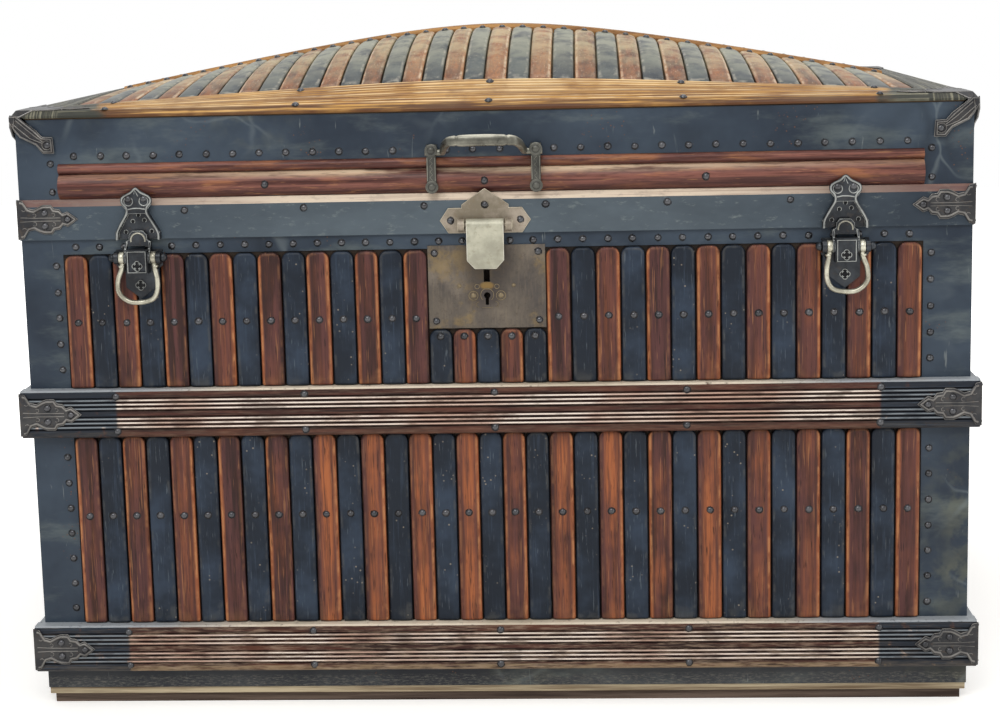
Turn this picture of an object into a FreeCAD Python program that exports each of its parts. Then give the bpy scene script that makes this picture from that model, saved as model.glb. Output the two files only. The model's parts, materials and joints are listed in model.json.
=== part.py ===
"""Dome top trunk: a slatted wooden trunk with a doubly curved lid, iron fittings and a lift-out tray.

Millimetres, +Z up, X along the length, the front faces -Y. The origin is on the floor under the
middle of the trunk. Every piece is an object of one document and takes its sizes from the sheet.
"""
import FreeCAD, Part
import math
import os
import re

import Sketcher

OUT = "parts"
TINY = 1e-4
V = FreeCAD.Vector

# ---------------------------------------------------------------- driving dimensions (mm, degrees)
SIZES = {
    # case
    "case_length": 888, "case_depth": 524, "wall": 12, "bottom_thick": 12, "seam_height": 459,
    "seam_gap": 0.4, "gauge": 1,
    # floor skids and plinth
    "skid_height": 10, "skid_width": 45, "skid_inset": 4, "plinth_low": 16.5,
    # rails round the case
    "rail_height": 46, "rail_thick": 13, "rail_side": 8, "rail_bevel": 1.5, "low_rail_base": 37,
    "mid_rail_drop": 189,
    "groove_depth": 1.2, "groove_width": 1.6, "groove_pitch": 4, "groove_bank": 9,
    # sheet metal edges
    "top_binding": 14, "leaf_left": 38, "leaf_right": 44, "leaf_end": 42,
    # vertical slats
    "slat_thick": 6, "slat_gap": 0.8, "slat_round": 2.4, "slat_corner": 8, "slat_margin": 1,
    "pitch_lock": 22.2, "end_clear": 0.5, "count_side": 15, "count_lock": 5, "count_end": 19,
    # lid walls and mouldings, heights above the seam
    "lid_wall": 107, "dome_thick": 8, "valance_thick": 4, "valance_side": 1.5, "valance_top": 32,
    "bevel_top": 38.5, "bevel_thick": 1.5, "round_top": 62, "round_thick": 8, "bead_top": 72,
    "bead_thick": 4.4,
    # dome
    "crown_rise": 66, "crown_sharp": 0.3, "dome_slat_thick": 6, "dome_left_count": 20,
    "dome_right_count": 19, "dome_split": -6, "seat_gap": 0.3, "top_rail_width": 47,
    "top_rail_thick": 6.5, "top_rail_lip": 3, "top_rail_nose": 4.5, "ridge_half": 24, "ridge_thick": 8,
    "ridge_ease": 3,
    # lock and hasp
    "lock_x": -5.3, "plate_gauge": 1.4, "slot_half": 2.8, "mortise_half": 29, "mortise_depth": 9,
    "key_radius": 3, "key_slot": 9, "bolt_high": 5, "bolt_deep": 4, "bolt_long": 18,
    "bolt_throw": 16, "fit": 0.3, "staple_half": 2.2, "staple_wall": 3, "knuckle_radius": 6,
    "hasp_half": 18.7, "hasp_thick": 4, "hasp_chamfer": 8, "knuckle_long": 6, "pin_radius": 2,
    "pin_play": 0.05, "joint_gap": 0.6, "wing_half": 42.5, "wing_slope": 34.5, "crest_half": 22,
    "crest_lean": 2.2,
    # draw latches
    "latch_left_in": 112.5, "latch_right_in": 117, "latch_pin": 2.5, "latch_stand": 6.5,
    "ear_radius": 6, "box_half": 10, "box_thick": 10.5, "base_gauge": 2, "base_half": 22,
    "base_neck": 14, "lever_arm": 2, "eye_long": 5, "ear_long": 4, "ball": 4, "tongue_half": 8.5,
    "tongue_thick": 4, "tongue_back": 3, "bail_wire": 2.4, "bail_bulge": 5, "screw_radius": 4,
    "screw_high": 1.6, "keeper_plate": 1.8, "keeper_rim": 7, "keeper_half": 21, "keeper_wall": 2.5,
    "keeper_nail": 7.2,
    # lid handle
    "handle_half": 48.4, "post_width": 12, "post_thick": 5, "handle_reach": 30,
    "handle_tilt": 25, "handle_inset": 11, "grip_half": 28, "grip_radius": 4.5, "stud": 3,
    # rear hinges
    "hinge_in": 144, "hinge_width": 60, "hinge_leaf": 44, "hinge_gauge": 2, "hinge_stand": 6,
    "hinge_knuckle": 4.5, "hinge_reach": 6.5,
    # side handles
    "side_half": 78, "side_drop": 42, "side_grip": 7, "side_boss": 8, "loop_width": 18,
    "loop_height": 34, "loop_gauge": 2.5, "side_stand": 10, "lug_radius": 7,
    # tray and runners
    "tray_height": 96, "tray_board": 7, "tray_floor": 5, "tray_play": 4, "runner_wide": 14,
    "runner_high": 18, "divider_near": 150, "divider_drop": 8, "pull_width": 24, "pull_high": 40,
    "pull_thick": 2, "pull_rise": 17, "paper": 0.4,
    # nails
    "nail_radius": 3, "nail_height": 1.8, "nail_edge": 7, "nail_rest": 0.1, "tack_pitch": 25,
    "slat_nail_drop": 79, "rail_nail_rise": 17, "rail_nail_in": 32, "valance_nail_pitch": 113,
    # corner clamps
    "clamp_gauge": 1.4, "clamp_long": 60, "clamp_half": 22.5, "lid_clamp_long": 58, "lid_clamp_half": 20.5,
    "cap_gauge": 1.4, "cap_long": 72,
}

# levels by their height above the seam
FROM_SEAM = {
    "lock_top": -11, "lock_base": -90, "slot_base": -46, "mortise_base": -83, "key_height": -59,
    "bolt_z": -22, "hasp_pivot": 9, "hasp_base": -31.6, "crest_foot": 27.5, "crest_top": 43, "latch_pivot": -16,
    "box_top": -8, "box_base": -31, "base_tip": -56, "tongue_base": -5.4, "tongue_top": 9,
    "bail_base": -61, "post_low": 39, "post_high": 85, "foot_low": 73, "handle_pivot": 77,
    "side_z": -55, "tray_base": -103, "band_nail": 79, "lid_clamp_z": 20.3,
    "keeper_neck": 27.5, "keeper_brow": 34, "keeper_row": 40, "keeper_tip": 49.5,
}

# places and pitches that follow from the sizes above
DERIVED = {
    "mid_rail_base": "seam_height - mid_rail_drop",
    "slat_nail_low": "mid_rail_base - slat_nail_drop",
    "slat_nail_high": "seam_height - slat_nail_drop",
    "slat_start": "case_length/2 - leaf_left - slat_margin",
    "pitch_left": "(slat_start + lock_x - count_lock*pitch_lock/2)/count_side",
    "pitch_right": "(case_length/2 - leaf_right - slat_margin - lock_x - count_lock*pitch_lock/2)/count_side",
    "pitch_end": "(case_depth - 2*leaf_end - 3*slat_margin)/count_end",
    "dome_end": "case_length/2 + gauge + top_rail_lip - top_rail_width",
    "latch_left_x": "latch_left_in - case_length/2",
    "latch_right_x": "case_length/2 - latch_right_in",
    "hinge_pitch": "case_length/2 - hinge_in",
    "rail_nail_pitch": "(case_length/2 + rail_side - clamp_long - rail_nail_in)/2",
}

doc = FreeCAD.newDocument("DomeTopTrunk")
sheet = doc.addObject("Spreadsheet::Sheet", "Sizes")
CELLS = {name: str(value) for name, value in SIZES.items()}
CELLS.update({name: f"=seam_height + ({height})" for name, height in FROM_SEAM.items()})
CELLS.update({name: "=" + text for name, text in DERIVED.items()})
for row, (alias, value) in enumerate(CELLS.items(), start=1):
    sheet.set(f"A{row}", alias)
    sheet.setAlias(f"B{row}", alias)
    sheet.set(f"B{row}", value)
doc.recompute()

WORD = re.compile(r"[A-Za-z_][A-Za-z_0-9]*")
SUB_PARTS = []


# ---------------------------------------------------------------- helpers
def ex(text):
    """The expression with each size name pointing at its cell of the sheet."""
    return WORD.sub(lambda m: "Sizes." + m.group() if m.group() in CELLS else m.group(), str(text))


def val(text):
    """The number an expression gives now."""
    return float(sheet.evalExpression(ex(text)))


def bind(obj, prop, text):
    obj.setExpression(prop, ex(text))


def place(obj, x, y, z):
    for axis, text in zip("xyz", (x, y, z)):
        bind(obj, "Placement.Base." + axis, text)
    return obj


def box(name, length, width, height, x, y, z):
    """A board with its low corner at x, y, z."""
    obj = doc.addObject("Part::Box", name)
    bind(obj, "Length", length)
    bind(obj, "Width", width)
    bind(obj, "Height", height)
    return place(obj, x, y, z)


def rod(name, radius, length, x, y, z, direction):
    """A round bar from x, y, z along X, Y, Z or -Y."""
    turns = {"X": (0, 1, 0, 90), "Y": (1, 0, 0, -90), "-Y": (1, 0, 0, 90), "Z": (0, 0, 1, 0)}
    ax, ay, az, angle = turns[direction]
    obj = doc.addObject("Part::Cylinder", name)
    bind(obj, "Radius", radius)
    bind(obj, "Height", length)
    obj.Placement.Rotation = FreeCAD.Rotation(FreeCAD.Vector(ax, ay, az), angle)
    return place(obj, x, y, z)


def fuse(name, parts):
    obj = doc.addObject("Part::MultiFuse", name)
    obj.Shapes = parts
    return obj


def cut(name, base, tool):
    obj = doc.addObject("Part::Cut", name)
    obj.Base = base
    obj.Tool = tool
    return obj


def common(name, parts):
    obj = doc.addObject("Part::MultiCommon", name)
    obj.Shapes = parts
    return obj


def mirror(name, source, axis):
    """The same piece on the other side of the plane through the origin square to X or Y."""
    obj = doc.addObject("Part::Mirroring", name)
    obj.Source = source
    obj.Normal = FreeCAD.Vector(1, 0, 0) if axis == "X" else FreeCAD.Vector(0, 1, 0)
    return obj


def group(name, parts):
    obj = doc.addObject("Part::Compound", name)
    obj.Links = parts
    return obj


def solids(name, shapes):
    """A sub-part made of shapes worked out here."""
    obj = doc.addObject("Part::Feature", name)
    obj.Shape = Part.makeCompound(shapes) if len(shapes) > 1 else shapes[0]
    return obj


def node(obj):
    """Count obj as a sub-part, exported under its label."""
    SUB_PARTS.append(obj)
    return obj


def plane_of(body, role):
    return next(item for item in body.Origin.OriginFeatures if item.Role == role)


def polygon_sketch(body, role, points):
    """A closed outline whose corners are bound to the sheet."""
    sketch = body.newObject("Sketcher::SketchObject", body.Name + "_sketch")
    sketch.AttachmentSupport = [(plane_of(body, role), "")]
    sketch.MapMode = "FlatFace"
    corners = [FreeCAD.Vector(val(u), val(v), 0) for u, v in points]
    count = len(corners)
    lines = [Part.LineSegment(corners[i], corners[(i + 1) % count]) for i in range(count)]
    sketch.addGeometry(lines, False)
    for i in range(count):
        sketch.addConstraint(Sketcher.Constraint("Coincident", i, 2, (i + 1) % count, 1))
    for i, (u, v) in enumerate(points):
        across = sketch.addConstraint(Sketcher.Constraint("DistanceX", i, 1, corners[i].x))
        up = sketch.addConstraint(Sketcher.Constraint("DistanceY", i, 1, corners[i].y))
        bind(sketch, f"Constraints[{across}]", u)
        bind(sketch, f"Constraints[{up}]", v)
    return sketch


def pad_sketch(body, sketch, length):
    pad = body.newObject("PartDesign::Pad", sketch.Name + "_pad")
    pad.Profile = sketch
    bind(pad, "Length", length)
    body.Tip = pad
    return pad


def outline_body(name, role, points, length, x="0", y="0", z="0"):
    """A PartDesign body: one outline on an origin plane, padded along the plane's normal."""
    body = doc.addObject("PartDesign::Body", name)
    pad_sketch(body, polygon_sketch(body, role, points), length)
    return place(body, x, y, z)


def rectangle(u0, v0, u1, v1):
    return [(u0, v0), (u1, v0), (u1, v1), (u0, v1)]


# named levels and faces, as expressions
FRONT = "-(case_depth/2)"
END = "(case_length/2)"
SEAM = "seam_height"
LID_BASE = "(seam_height + seam_gap)"
LID_TOP = "(seam_height + lid_wall)"
EDGE = "(seam_height + lid_wall + dome_thick)"
FLOOR = "(skid_height + bottom_thick)"
LOW_TOP = "(low_rail_base + rail_height)"
MID_TOP = "(mid_rail_base + rail_height)"
LOCK_LEFT = "(-slat_start + count_side*pitch_left)"
LOCK_RIGHT = "(-slat_start + count_side*pitch_left + count_lock*pitch_lock)"


# ---------------------------------------------------------------- case boards
def case_boards():
    node(box("bottom_board", "case_length", "case_depth", "bottom_thick", f"-{END}", FRONT, "skid_height"))
    front = outline_body(
        "front_board_blank", "XZ_Plane", rectangle(f"-{END}", FLOOR, END, SEAM), "wall", y=f"{FRONT} + wall"
    )
    # mortise for the lock case, sunk from the outer face and open at the seam over the staple slot
    cutter = box(
        "front_board_mortise", "2*mortise_half", "mortise_depth", "lock_top - mortise_base",
        "lock_x - mortise_half", FRONT, "mortise_base",
    )
    gullet = box(
        "front_board_gullet", "2*(slot_half + fit)", "mortise_depth", f"{SEAM} - lock_top + 2*wall",
        "lock_x - slot_half - fit", FRONT, "lock_top - wall",
    )
    node(cut("front_board", front, fuse("front_board_tool", [cutter, gullet])))
    back_y = "case_depth/2 - wall"
    node(box("back_board", "case_length", "wall", f"{SEAM} - {FLOOR}", f"-{END}", back_y, FLOOR))
    right_end = box(
        "end_board_right", "wall", "case_depth - 2*wall", f"{SEAM} - {FLOOR}", f"{END} - wall",
        f"{FRONT} + wall", FLOOR,
    )
    node(group("end_boards", [right_end, mirror("end_board_left", right_end, "X")]))
    skid_length = "case_length - 2*skid_inset"
    skids = [
        box(f"skid_{name}", skid_length, "skid_width", "skid_height", f"-{END} + skid_inset", y, "0")
        for name, y in (
            ("front", f"{FRONT} + skid_inset"),
            ("middle", "-skid_width/2"),
            ("back", "case_depth/2 - skid_inset - skid_width"),
        )
    ]
    node(group("floor_skids", skids))
    height = "low_rail_base - plinth_low"
    front_band = box(
        "plinth_front", "case_length + 2*gauge", "gauge", height, f"-{END} - gauge", f"{FRONT} - gauge",
        "plinth_low",
    )
    end_band = box("plinth_end", "gauge", "case_depth", height, END, FRONT, "plinth_low")
    bands = [front_band, mirror("plinth_back", front_band, "Y")]
    bands += [end_band, mirror("plinth_left", end_band, "X")]
    node(group("plinth_bands", bands))


# ---------------------------------------------------------------- rails round the case
def grooved_profile(back, sign, thick):
    """Rail section from its back face: bevelled edges and two banks of four V grooves.

    back is the expression of the back face, sign the outward direction along the first axis.
    """
    half = "rail_height/2"
    points = [(back, "0"), (f"{back} {sign} ({thick} - rail_bevel)", "0")]
    face = f"{back} {sign} {thick}"
    points.append((face, "rail_bevel"))
    for bank in ("- groove_bank", "+ groove_bank"):
        for step in (-1.5, -0.5, 0.5, 1.5):
            middle = f"{half} {bank} + {step}*groove_pitch"
            points.append((face, f"{middle} - groove_width/2"))
            points.append((f"{face} {'+' if sign == '-' else '-'} groove_depth", middle))
            points.append((face, f"{middle} + groove_width/2"))
    points.append((face, "rail_height - rail_bevel"))
    points.append((f"{back} {sign} ({thick} - rail_bevel)", "rail_height"))
    points.append((back, "rail_height"))
    return points


def case_rails():
    for name, base in (("bottom_rails", "low_rail_base"), ("mid_rails", "mid_rail_base")):
        front = outline_body(
            name + "_front", "YZ_Plane", grooved_profile(FRONT, "-", "rail_thick"),
            "case_length + 2*rail_side", x=f"-{END} - rail_side", z=base,
        )
        end = outline_body(
            name + "_right", "XZ_Plane", grooved_profile(END, "+", "rail_side"), "case_depth",
            y="case_depth/2", z=base,
        )
        pieces = [front, mirror(name + "_back", front, "Y"), end, mirror(name + "_left", end, "X")]
        node(group(name, pieces))


# ---------------------------------------------------------------- sheet metal edges of the case
def angle(name, side, leaf, base, height):
    """Corner angle on the front edge of one end, side -1 left and 1 right."""
    corner = f"{side}*({END} + gauge)"
    inner = f"{side}*{END}"
    points = [
        (corner, f"{FRONT} - gauge"),
        (f"{side}*({END} - {leaf})", f"{FRONT} - gauge"),
        (f"{side}*({END} - {leaf})", FRONT),
        (inner, FRONT),
        (inner, f"{FRONT} + leaf_end"),
        (corner, f"{FRONT} + leaf_end"),
    ]
    return outline_body(name, "XY_Plane", points, height, z=base)


def four_angles(name, base, height):
    pieces = []
    for side, leaf, word in ((-1, "leaf_left", "left"), (1, "leaf_right", "right")):
        piece = angle(f"{name}_{word}", side, leaf, base, height)
        pieces += [piece, mirror(f"{name}_{word}_back", piece, "Y")]
    return pieces


def case_bindings():
    low = four_angles("low_angle", LOW_TOP, f"mid_rail_base - {LOW_TOP}")
    high = four_angles("high_angle", MID_TOP, f"{SEAM} - {MID_TOP}")
    node(group("body_corner_bindings", low + high))
    base = f"{SEAM} - top_binding"
    outer = f"{FRONT} - gauge"
    left = box(
        "top_binding_left", f"{END} - leaf_left + lock_x - slot_half - fit", "gauge", "top_binding",
        f"-{END} + leaf_left", outer, base,
    )
    right = box(
        "top_binding_right", f"{END} - leaf_right - lock_x - slot_half - fit", "gauge", "top_binding",
        "lock_x + slot_half + fit", outer, base,
    )
    back = box(
        "top_binding_back", "case_length - leaf_left - leaf_right", "gauge", "top_binding",
        f"-{END} + leaf_left", "case_depth/2", base,
    )
    end = box(
        "top_binding_end", "gauge", "case_depth - 2*leaf_end", "top_binding", END, f"{FRONT} + leaf_end", base
    )
    node(group("body_top_bindings", [left, right, back, end, mirror("top_binding_end_left", end, "X")]))


# ---------------------------------------------------------------- vertical slats
def slat(name, role, pitch, base, top):
    """One slat with its low left corner of the pitch at the origin, eased round its outer face."""
    left, right = "slat_gap/2", f"{pitch} - slat_gap/2"
    low, high = f"{base} + end_clear", f"{top} - end_clear"
    foot, head, turn = "slat_corner*0.25", "slat_corner", "slat_corner*0.3"
    points = [
        (left, f"{low} + {foot}"), (f"{left} + {foot}", low),
        (f"{right} - {foot}", low), (right, f"{low} + {foot}"),
        (right, f"{high} - {head}"), (f"{right} - {turn}", f"{high} - {turn}"),
        (f"{right} - {head}", high), (f"{left} + {head}", high),
        (f"{left} + {turn}", f"{high} - {turn}"), (left, f"{high} - {head}"),
    ]
    body = doc.addObject("PartDesign::Body", name)
    pad = pad_sketch(body, polygon_sketch(body, role, points), "slat_thick")
    doc.recompute()
    along = "y" if role == "XZ_Plane" else "x"
    outer = max(abs(getattr(vertex.Point, along)) for vertex in pad.Shape.Vertexes)
    names = [
        f"Edge{i}"
        for i, edge in enumerate(pad.Shape.Edges, start=1)
        if all(abs(abs(getattr(vertex.Point, along)) - outer) < TINY for vertex in edge.Vertexes)
    ]
    easing = body.newObject("PartDesign::Fillet", name + "_easing")
    easing.Base = (pad, names)
    bind(easing, "Radius", "slat_round")
    body.Tip = easing
    doc.recompute()
    return body


def every_other(body, role, start, pitch, count, first):
    """Copies of one slat along its row, every second place from the first."""
    step = V(val(pitch), 0, 0) if role == "XZ_Plane" else V(0, val(pitch), 0)
    origin = V(val(start), val(FRONT), 0) if role == "XZ_Plane" else V(val(END), val(start), 0)
    return [body.Shape.translated(origin + step * i) for i in range(first, count, 2)]


def case_slats():
    """Brown and black slats take turns; the run under the lock is shorter than its neighbours."""
    binding = f"({SEAM} - top_binding)"
    rows = (("low", LOW_TOP, "mid_rail_base", "mid_rail_base"), ("high", MID_TOP, binding, "lock_base"))
    side, middle, end = (int(val(name)) for name in ("count_side", "count_lock", "count_end"))
    front = {"brown": [], "black": []}
    ends = {"brown": [], "black": []}
    for row, base, top, lock_top in rows:
        runs = (
            ("left", "-slat_start", "pitch_left", side, 0, top),
            ("lock", LOCK_LEFT, "pitch_lock", middle, 1, lock_top),
            ("right", LOCK_RIGHT, "pitch_right", side, 0, top),
        )
        for word, start, pitch, count, shift, high in runs:
            body = slat(f"slat_{row}_{word}", "XZ_Plane", pitch, base, high)
            front["brown"] += every_other(body, "XZ_Plane", start, pitch, count, shift)
            front["black"] += every_other(body, "XZ_Plane", start, pitch, count, 1 - shift)
        body = slat(f"slat_{row}_end", "YZ_Plane", "pitch_end", base, top)
        start = "-(count_end*pitch_end/2)"
        ends["brown"] += every_other(body, "YZ_Plane", start, "pitch_end", end, 0)
        ends["black"] += every_other(body, "YZ_Plane", start, "pitch_end", end, 1)
    for colour in ("brown", "black"):
        node(solids(f"front_slats_{colour}", front[colour]))
        flipped = [shape.mirror(V(0, 0, 0), V(1, 0, 0)) for shape in ends[colour]]
        node(solids(f"end_slats_{colour}", ends[colour] + flipped))


# ---------------------------------------------------------------- lock
def lock():
    keyhole = [
        rod("keyhole_round", "key_radius", "3*wall", "lock_x", f"{FRONT} + wall", "key_height", "-Y"),
        box(
            "keyhole_slot", "key_radius", "3*wall", "key_slot", "lock_x - key_radius/2",
            f"{FRONT} - 2*wall", "key_height - key_slot",
        ),
    ]
    plate = box(
        "lock_plate_blank", "count_lock*pitch_lock - 2*fit", "plate_gauge", "lock_top - lock_base",
        f"{LOCK_LEFT} + fit", f"{FRONT} - gauge - plate_gauge", "lock_base",
    )
    slot = box(
        "staple_slot", "2*slot_half", "3*wall", f"{SEAM} - slot_base", "lock_x - slot_half",
        f"{FRONT} - 2*wall", "slot_base",
    )
    node(cut("lock_plate", plate, fuse("lock_plate_tool", keyhole + [slot])))
    case = box(
        "lock_case_blank", "2*(mortise_half - fit)", "mortise_depth - fit", "lock_top - mortise_base - 2*fit",
        "lock_x - mortise_half + fit", FRONT, "mortise_base + fit",
    )
    tunnel = box(
        "bolt_tunnel", "bolt_long + bolt_throw + 2*slot_half", "bolt_deep + 2*fit", "bolt_high + 2*fit",
        "lock_x - slot_half - bolt_long - 1 - fit", f"{FRONT} + gauge - fit", "bolt_z - bolt_high/2 - fit",
    )
    node(cut("lock_case", case, fuse("lock_case_tool", [tunnel, slot] + keyhole)))
    node(
        box(
            "lock_bolt", "bolt_long", "bolt_deep", "bolt_high", "lock_x - slot_half - 1 - bolt_long",
            f"{FRONT} + gauge", "bolt_z - bolt_high/2",
        )
    )


# ---------------------------------------------------------------- hasp on the lid
VALANCE_FACE = f"({FRONT} - valance_thick)"
HASP_AXIS = f"({VALANCE_FACE} - plate_gauge - fit - knuckle_radius)"


def hasp():
    inner = "(hasp_half + joint_gap)"
    low, waist, shoulder = f"{LID_BASE} + fit", f"{SEAM} + valance_top*0.4", "crest_foot - knuckle_radius/2"
    right = [
        ("lock_x + wing_slope", low), ("lock_x + wing_half", waist), ("lock_x + wing_slope", shoulder),
        ("lock_x + crest_half", shoulder), ("lock_x + crest_half", "crest_foot"),
    ]
    left = [(u.replace("+", "-"), z) for u, z in reversed(right)]
    outline = right + [("lock_x", "crest_top")] + left
    foot, lean = f"{SEAM} + valance_top", f"({VALANCE_FACE} - crest_lean)"
    bend = [
        (VALANCE_FACE, low), (VALANCE_FACE, foot), (lean, "crest_top"), (f"{lean} - plate_gauge", "crest_top"),
        (f"{VALANCE_FACE} - plate_gauge", foot), (f"{VALANCE_FACE} - plate_gauge", low),
    ]
    sheet_bend = outline_body("hasp_plate_bend", "YZ_Plane", bend, "2*wing_half", x="lock_x - wing_half")
    silhouette = outline_body("hasp_plate_outline", "XZ_Plane", outline, "3*valance_thick", y=FRONT)
    pieces = [common("hasp_plate_leaf", [sheet_bend, silhouette])]
    for word, start in (("left", f"lock_x - {inner} - knuckle_long"), ("right", f"lock_x + {inner}")):
        pieces.append(
            rod(f"hasp_knuckle_{word}", "knuckle_radius", "knuckle_long", start, HASP_AXIS, "hasp_pivot", "X")
        )
        pieces.append(
            box(
                f"hasp_web_{word}", "knuckle_long", "knuckle_radius + fit", "knuckle_radius",
                start, HASP_AXIS, "hasp_pivot - knuckle_radius/2",
            )
        )
    reach = f"({inner} + knuckle_long/2)"
    pieces.append(
        rod("hasp_pin", "pin_radius", f"2*{reach}", f"lock_x - {reach}", HASP_AXIS, "hasp_pivot", "X")
    )
    node(fuse("hasp_plate", pieces))
    low, high = "hasp_base", "hasp_pivot"
    shape = [
        ("lock_x - hasp_half", high), ("lock_x - hasp_half", f"{low} + hasp_chamfer"),
        ("lock_x - hasp_half + hasp_chamfer", low), ("lock_x + hasp_half - hasp_chamfer", low),
        ("lock_x + hasp_half", f"{low} + hasp_chamfer"), ("lock_x + hasp_half", high),
    ]
    back = f"{HASP_AXIS} - knuckle_radius + hasp_thick"
    leaf = outline_body("hasp_leaf", "XZ_Plane", shape, "hasp_thick", y=back)
    start, width = "lock_x - hasp_half", "2*hasp_half"
    barrel = rod("hasp_barrel", "knuckle_radius", width, start, HASP_AXIS, high, "X")
    bore = rod("hasp_bore", "pin_radius + pin_play", width, start, HASP_AXIS, high, "X")
    tip = f"{FRONT} + mortise_depth - fit"
    staple = box(
        "staple_blank", "2*staple_half", f"{tip} - ({back})", "bolt_high + 2*staple_wall",
        "lock_x - staple_half", back, "bolt_z - bolt_high/2 - staple_wall",
    )
    eye = box(
        "staple_eye", "2*staple_half", "bolt_deep + 2*joint_gap", "bolt_high + 2*fit",
        "lock_x - staple_half", f"{FRONT} + gauge - joint_gap", "bolt_z - bolt_high/2 - fit",
    )
    node(cut("hasp", fuse("hasp_solid", [leaf, barrel, cut("staple", staple, eye)]), bore))


# ---------------------------------------------------------------- shapes worked out here
X_AXIS = V(1, 0, 0)
Y_AXIS = V(0, 1, 0)
Z_AXIS = V(0, 0, 1)


def bent_bar(points, bend, radius):
    """A round bar along straight runs through the points, its corners rounded by tangent arcs."""
    edges = []
    start = points[0]
    for before, corner, after in zip(points, points[1:], points[2:]):
        way_in = (corner - before).normalize()
        way_out = (after - corner).normalize()
        turn = way_in.getAngle(way_out)
        reach = bend * math.tan(turn / 2)
        first = corner - way_in * reach
        last = corner + way_out * reach
        inward = (way_out - way_in).normalize()
        middle = corner + inward * (bend / math.cos(turn / 2) - bend)
        edges.append(Part.LineSegment(start, first).toShape())
        edges.append(Part.Arc(first, middle, last).toShape())
        start = last
    edges.append(Part.LineSegment(start, points[-1]).toShape())
    section = Part.Wire(Part.makeCircle(radius, points[0], (points[1] - points[0]).normalize()))
    return Part.Wire(edges).makePipeShell([section], True, True)


def plate(points, thickness):
    """A flat plate: the closed outline through the points, extruded by the thickness vector."""
    return Part.Face(Part.makePolygon(points + points[:1])).extrude(thickness)


def joined(shapes):
    return shapes[0].multiFuse(shapes[1:]).removeSplitter()


def four_ways(shape):
    """The piece at one corner and its mirror images at the other three."""
    across = shape.mirror(V(0, 0, 0), X_AXIS)
    return [shape, across, shape.mirror(V(0, 0, 0), Y_AXIS), across.mirror(V(0, 0, 0), Y_AXIS)]


# ---------------------------------------------------------------- draw latches
SLAT_FACE = f"({FRONT} - slat_thick)"
LATCH_FACE = f"({SLAT_FACE} - base_gauge)"
LATCH_AXIS = f"({LATCH_FACE} - latch_stand)"
LEVER_INNER = "(box_half + fit)"
EYE_INNER = "(box_half + 2*fit + lever_arm)"
EAR_INNER = "(box_half + 3*fit + lever_arm + eye_long)"


def latch_lever(middle):
    """Fork beside the screw box, bent back so that its tongue stands inside the keeper."""
    axis, pivot = val(LATCH_AXIS), val("latch_pivot")
    inner, arm, thick = val(LEVER_INNER), val("lever_arm"), val("tongue_thick")
    low, high, half = val("tongue_base"), val("tongue_top"), val("tongue_half")
    outer = inner + arm
    back = val(f"{VALANCE_FACE} - tongue_back")
    pieces = []
    for start in (middle - outer, middle + inner):
        pieces.append(Part.makeCylinder(val("ear_radius"), arm, V(start, axis, pivot), X_AXIS))
        side = [
            (axis - thick / 2, pivot), (axis + thick / 2, pivot), (axis + thick / 2, pivot + 2 * thick),
            (back, low), (back, low + thick), (back - thick, low + thick),
            (axis - thick / 2, low - thick / 2),
        ]
        pieces.append(plate([V(start, y, z) for y, z in side], V(arm, 0, 0)))
    outline = [
        (-outer, low), (outer, low), (outer, low + thick), (half, low + 1.5 * thick), (half, high - thick),
        (half * 0.6, high), (-half * 0.6, high), (-half, high - thick), (-half, low + 1.5 * thick),
        (-outer, low + thick),
    ]
    pieces.append(plate([V(middle + u, back - thick, z) for u, z in outline], V(0, thick, 0)))
    bore = Part.makeCylinder(val("latch_pin + pin_play"), 2 * outer, V(middle - outer, axis, pivot), X_AXIS)
    return joined(pieces).cut(bore)


def latch_bail(middle):
    """Wire loop hanging from two eyes on the latch pin."""
    axis, pivot, base = val(LATCH_AXIS), val("latch_pivot"), val("bail_base")
    start, long = val(EYE_INNER), val("eye_long")
    wire, bulge, radius = val("bail_wire"), val("bail_bulge"), val("ear_radius")
    leg = start + long / 2
    high = pivot - radius + wire
    belly = (high + base) / 2
    right = [(leg, base + wire), (leg + bulge, belly), (leg, belly + 2 * bulge), (leg, high)]
    left = [(-u, z) for u, z in reversed(right)]
    pieces = [bent_bar([V(middle + u, axis, z) for u, z in left + right], bulge, wire)]
    for side in (middle - start - long, middle + start):
        pieces.append(Part.makeCylinder(radius, long, V(side, axis, pivot), X_AXIS))
    reach = start + long
    bore = Part.makeCylinder(val("latch_pin + pin_play"), 2 * reach, V(middle - reach, axis, pivot), X_AXIS)
    return joined(pieces).cut(bore)


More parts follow.
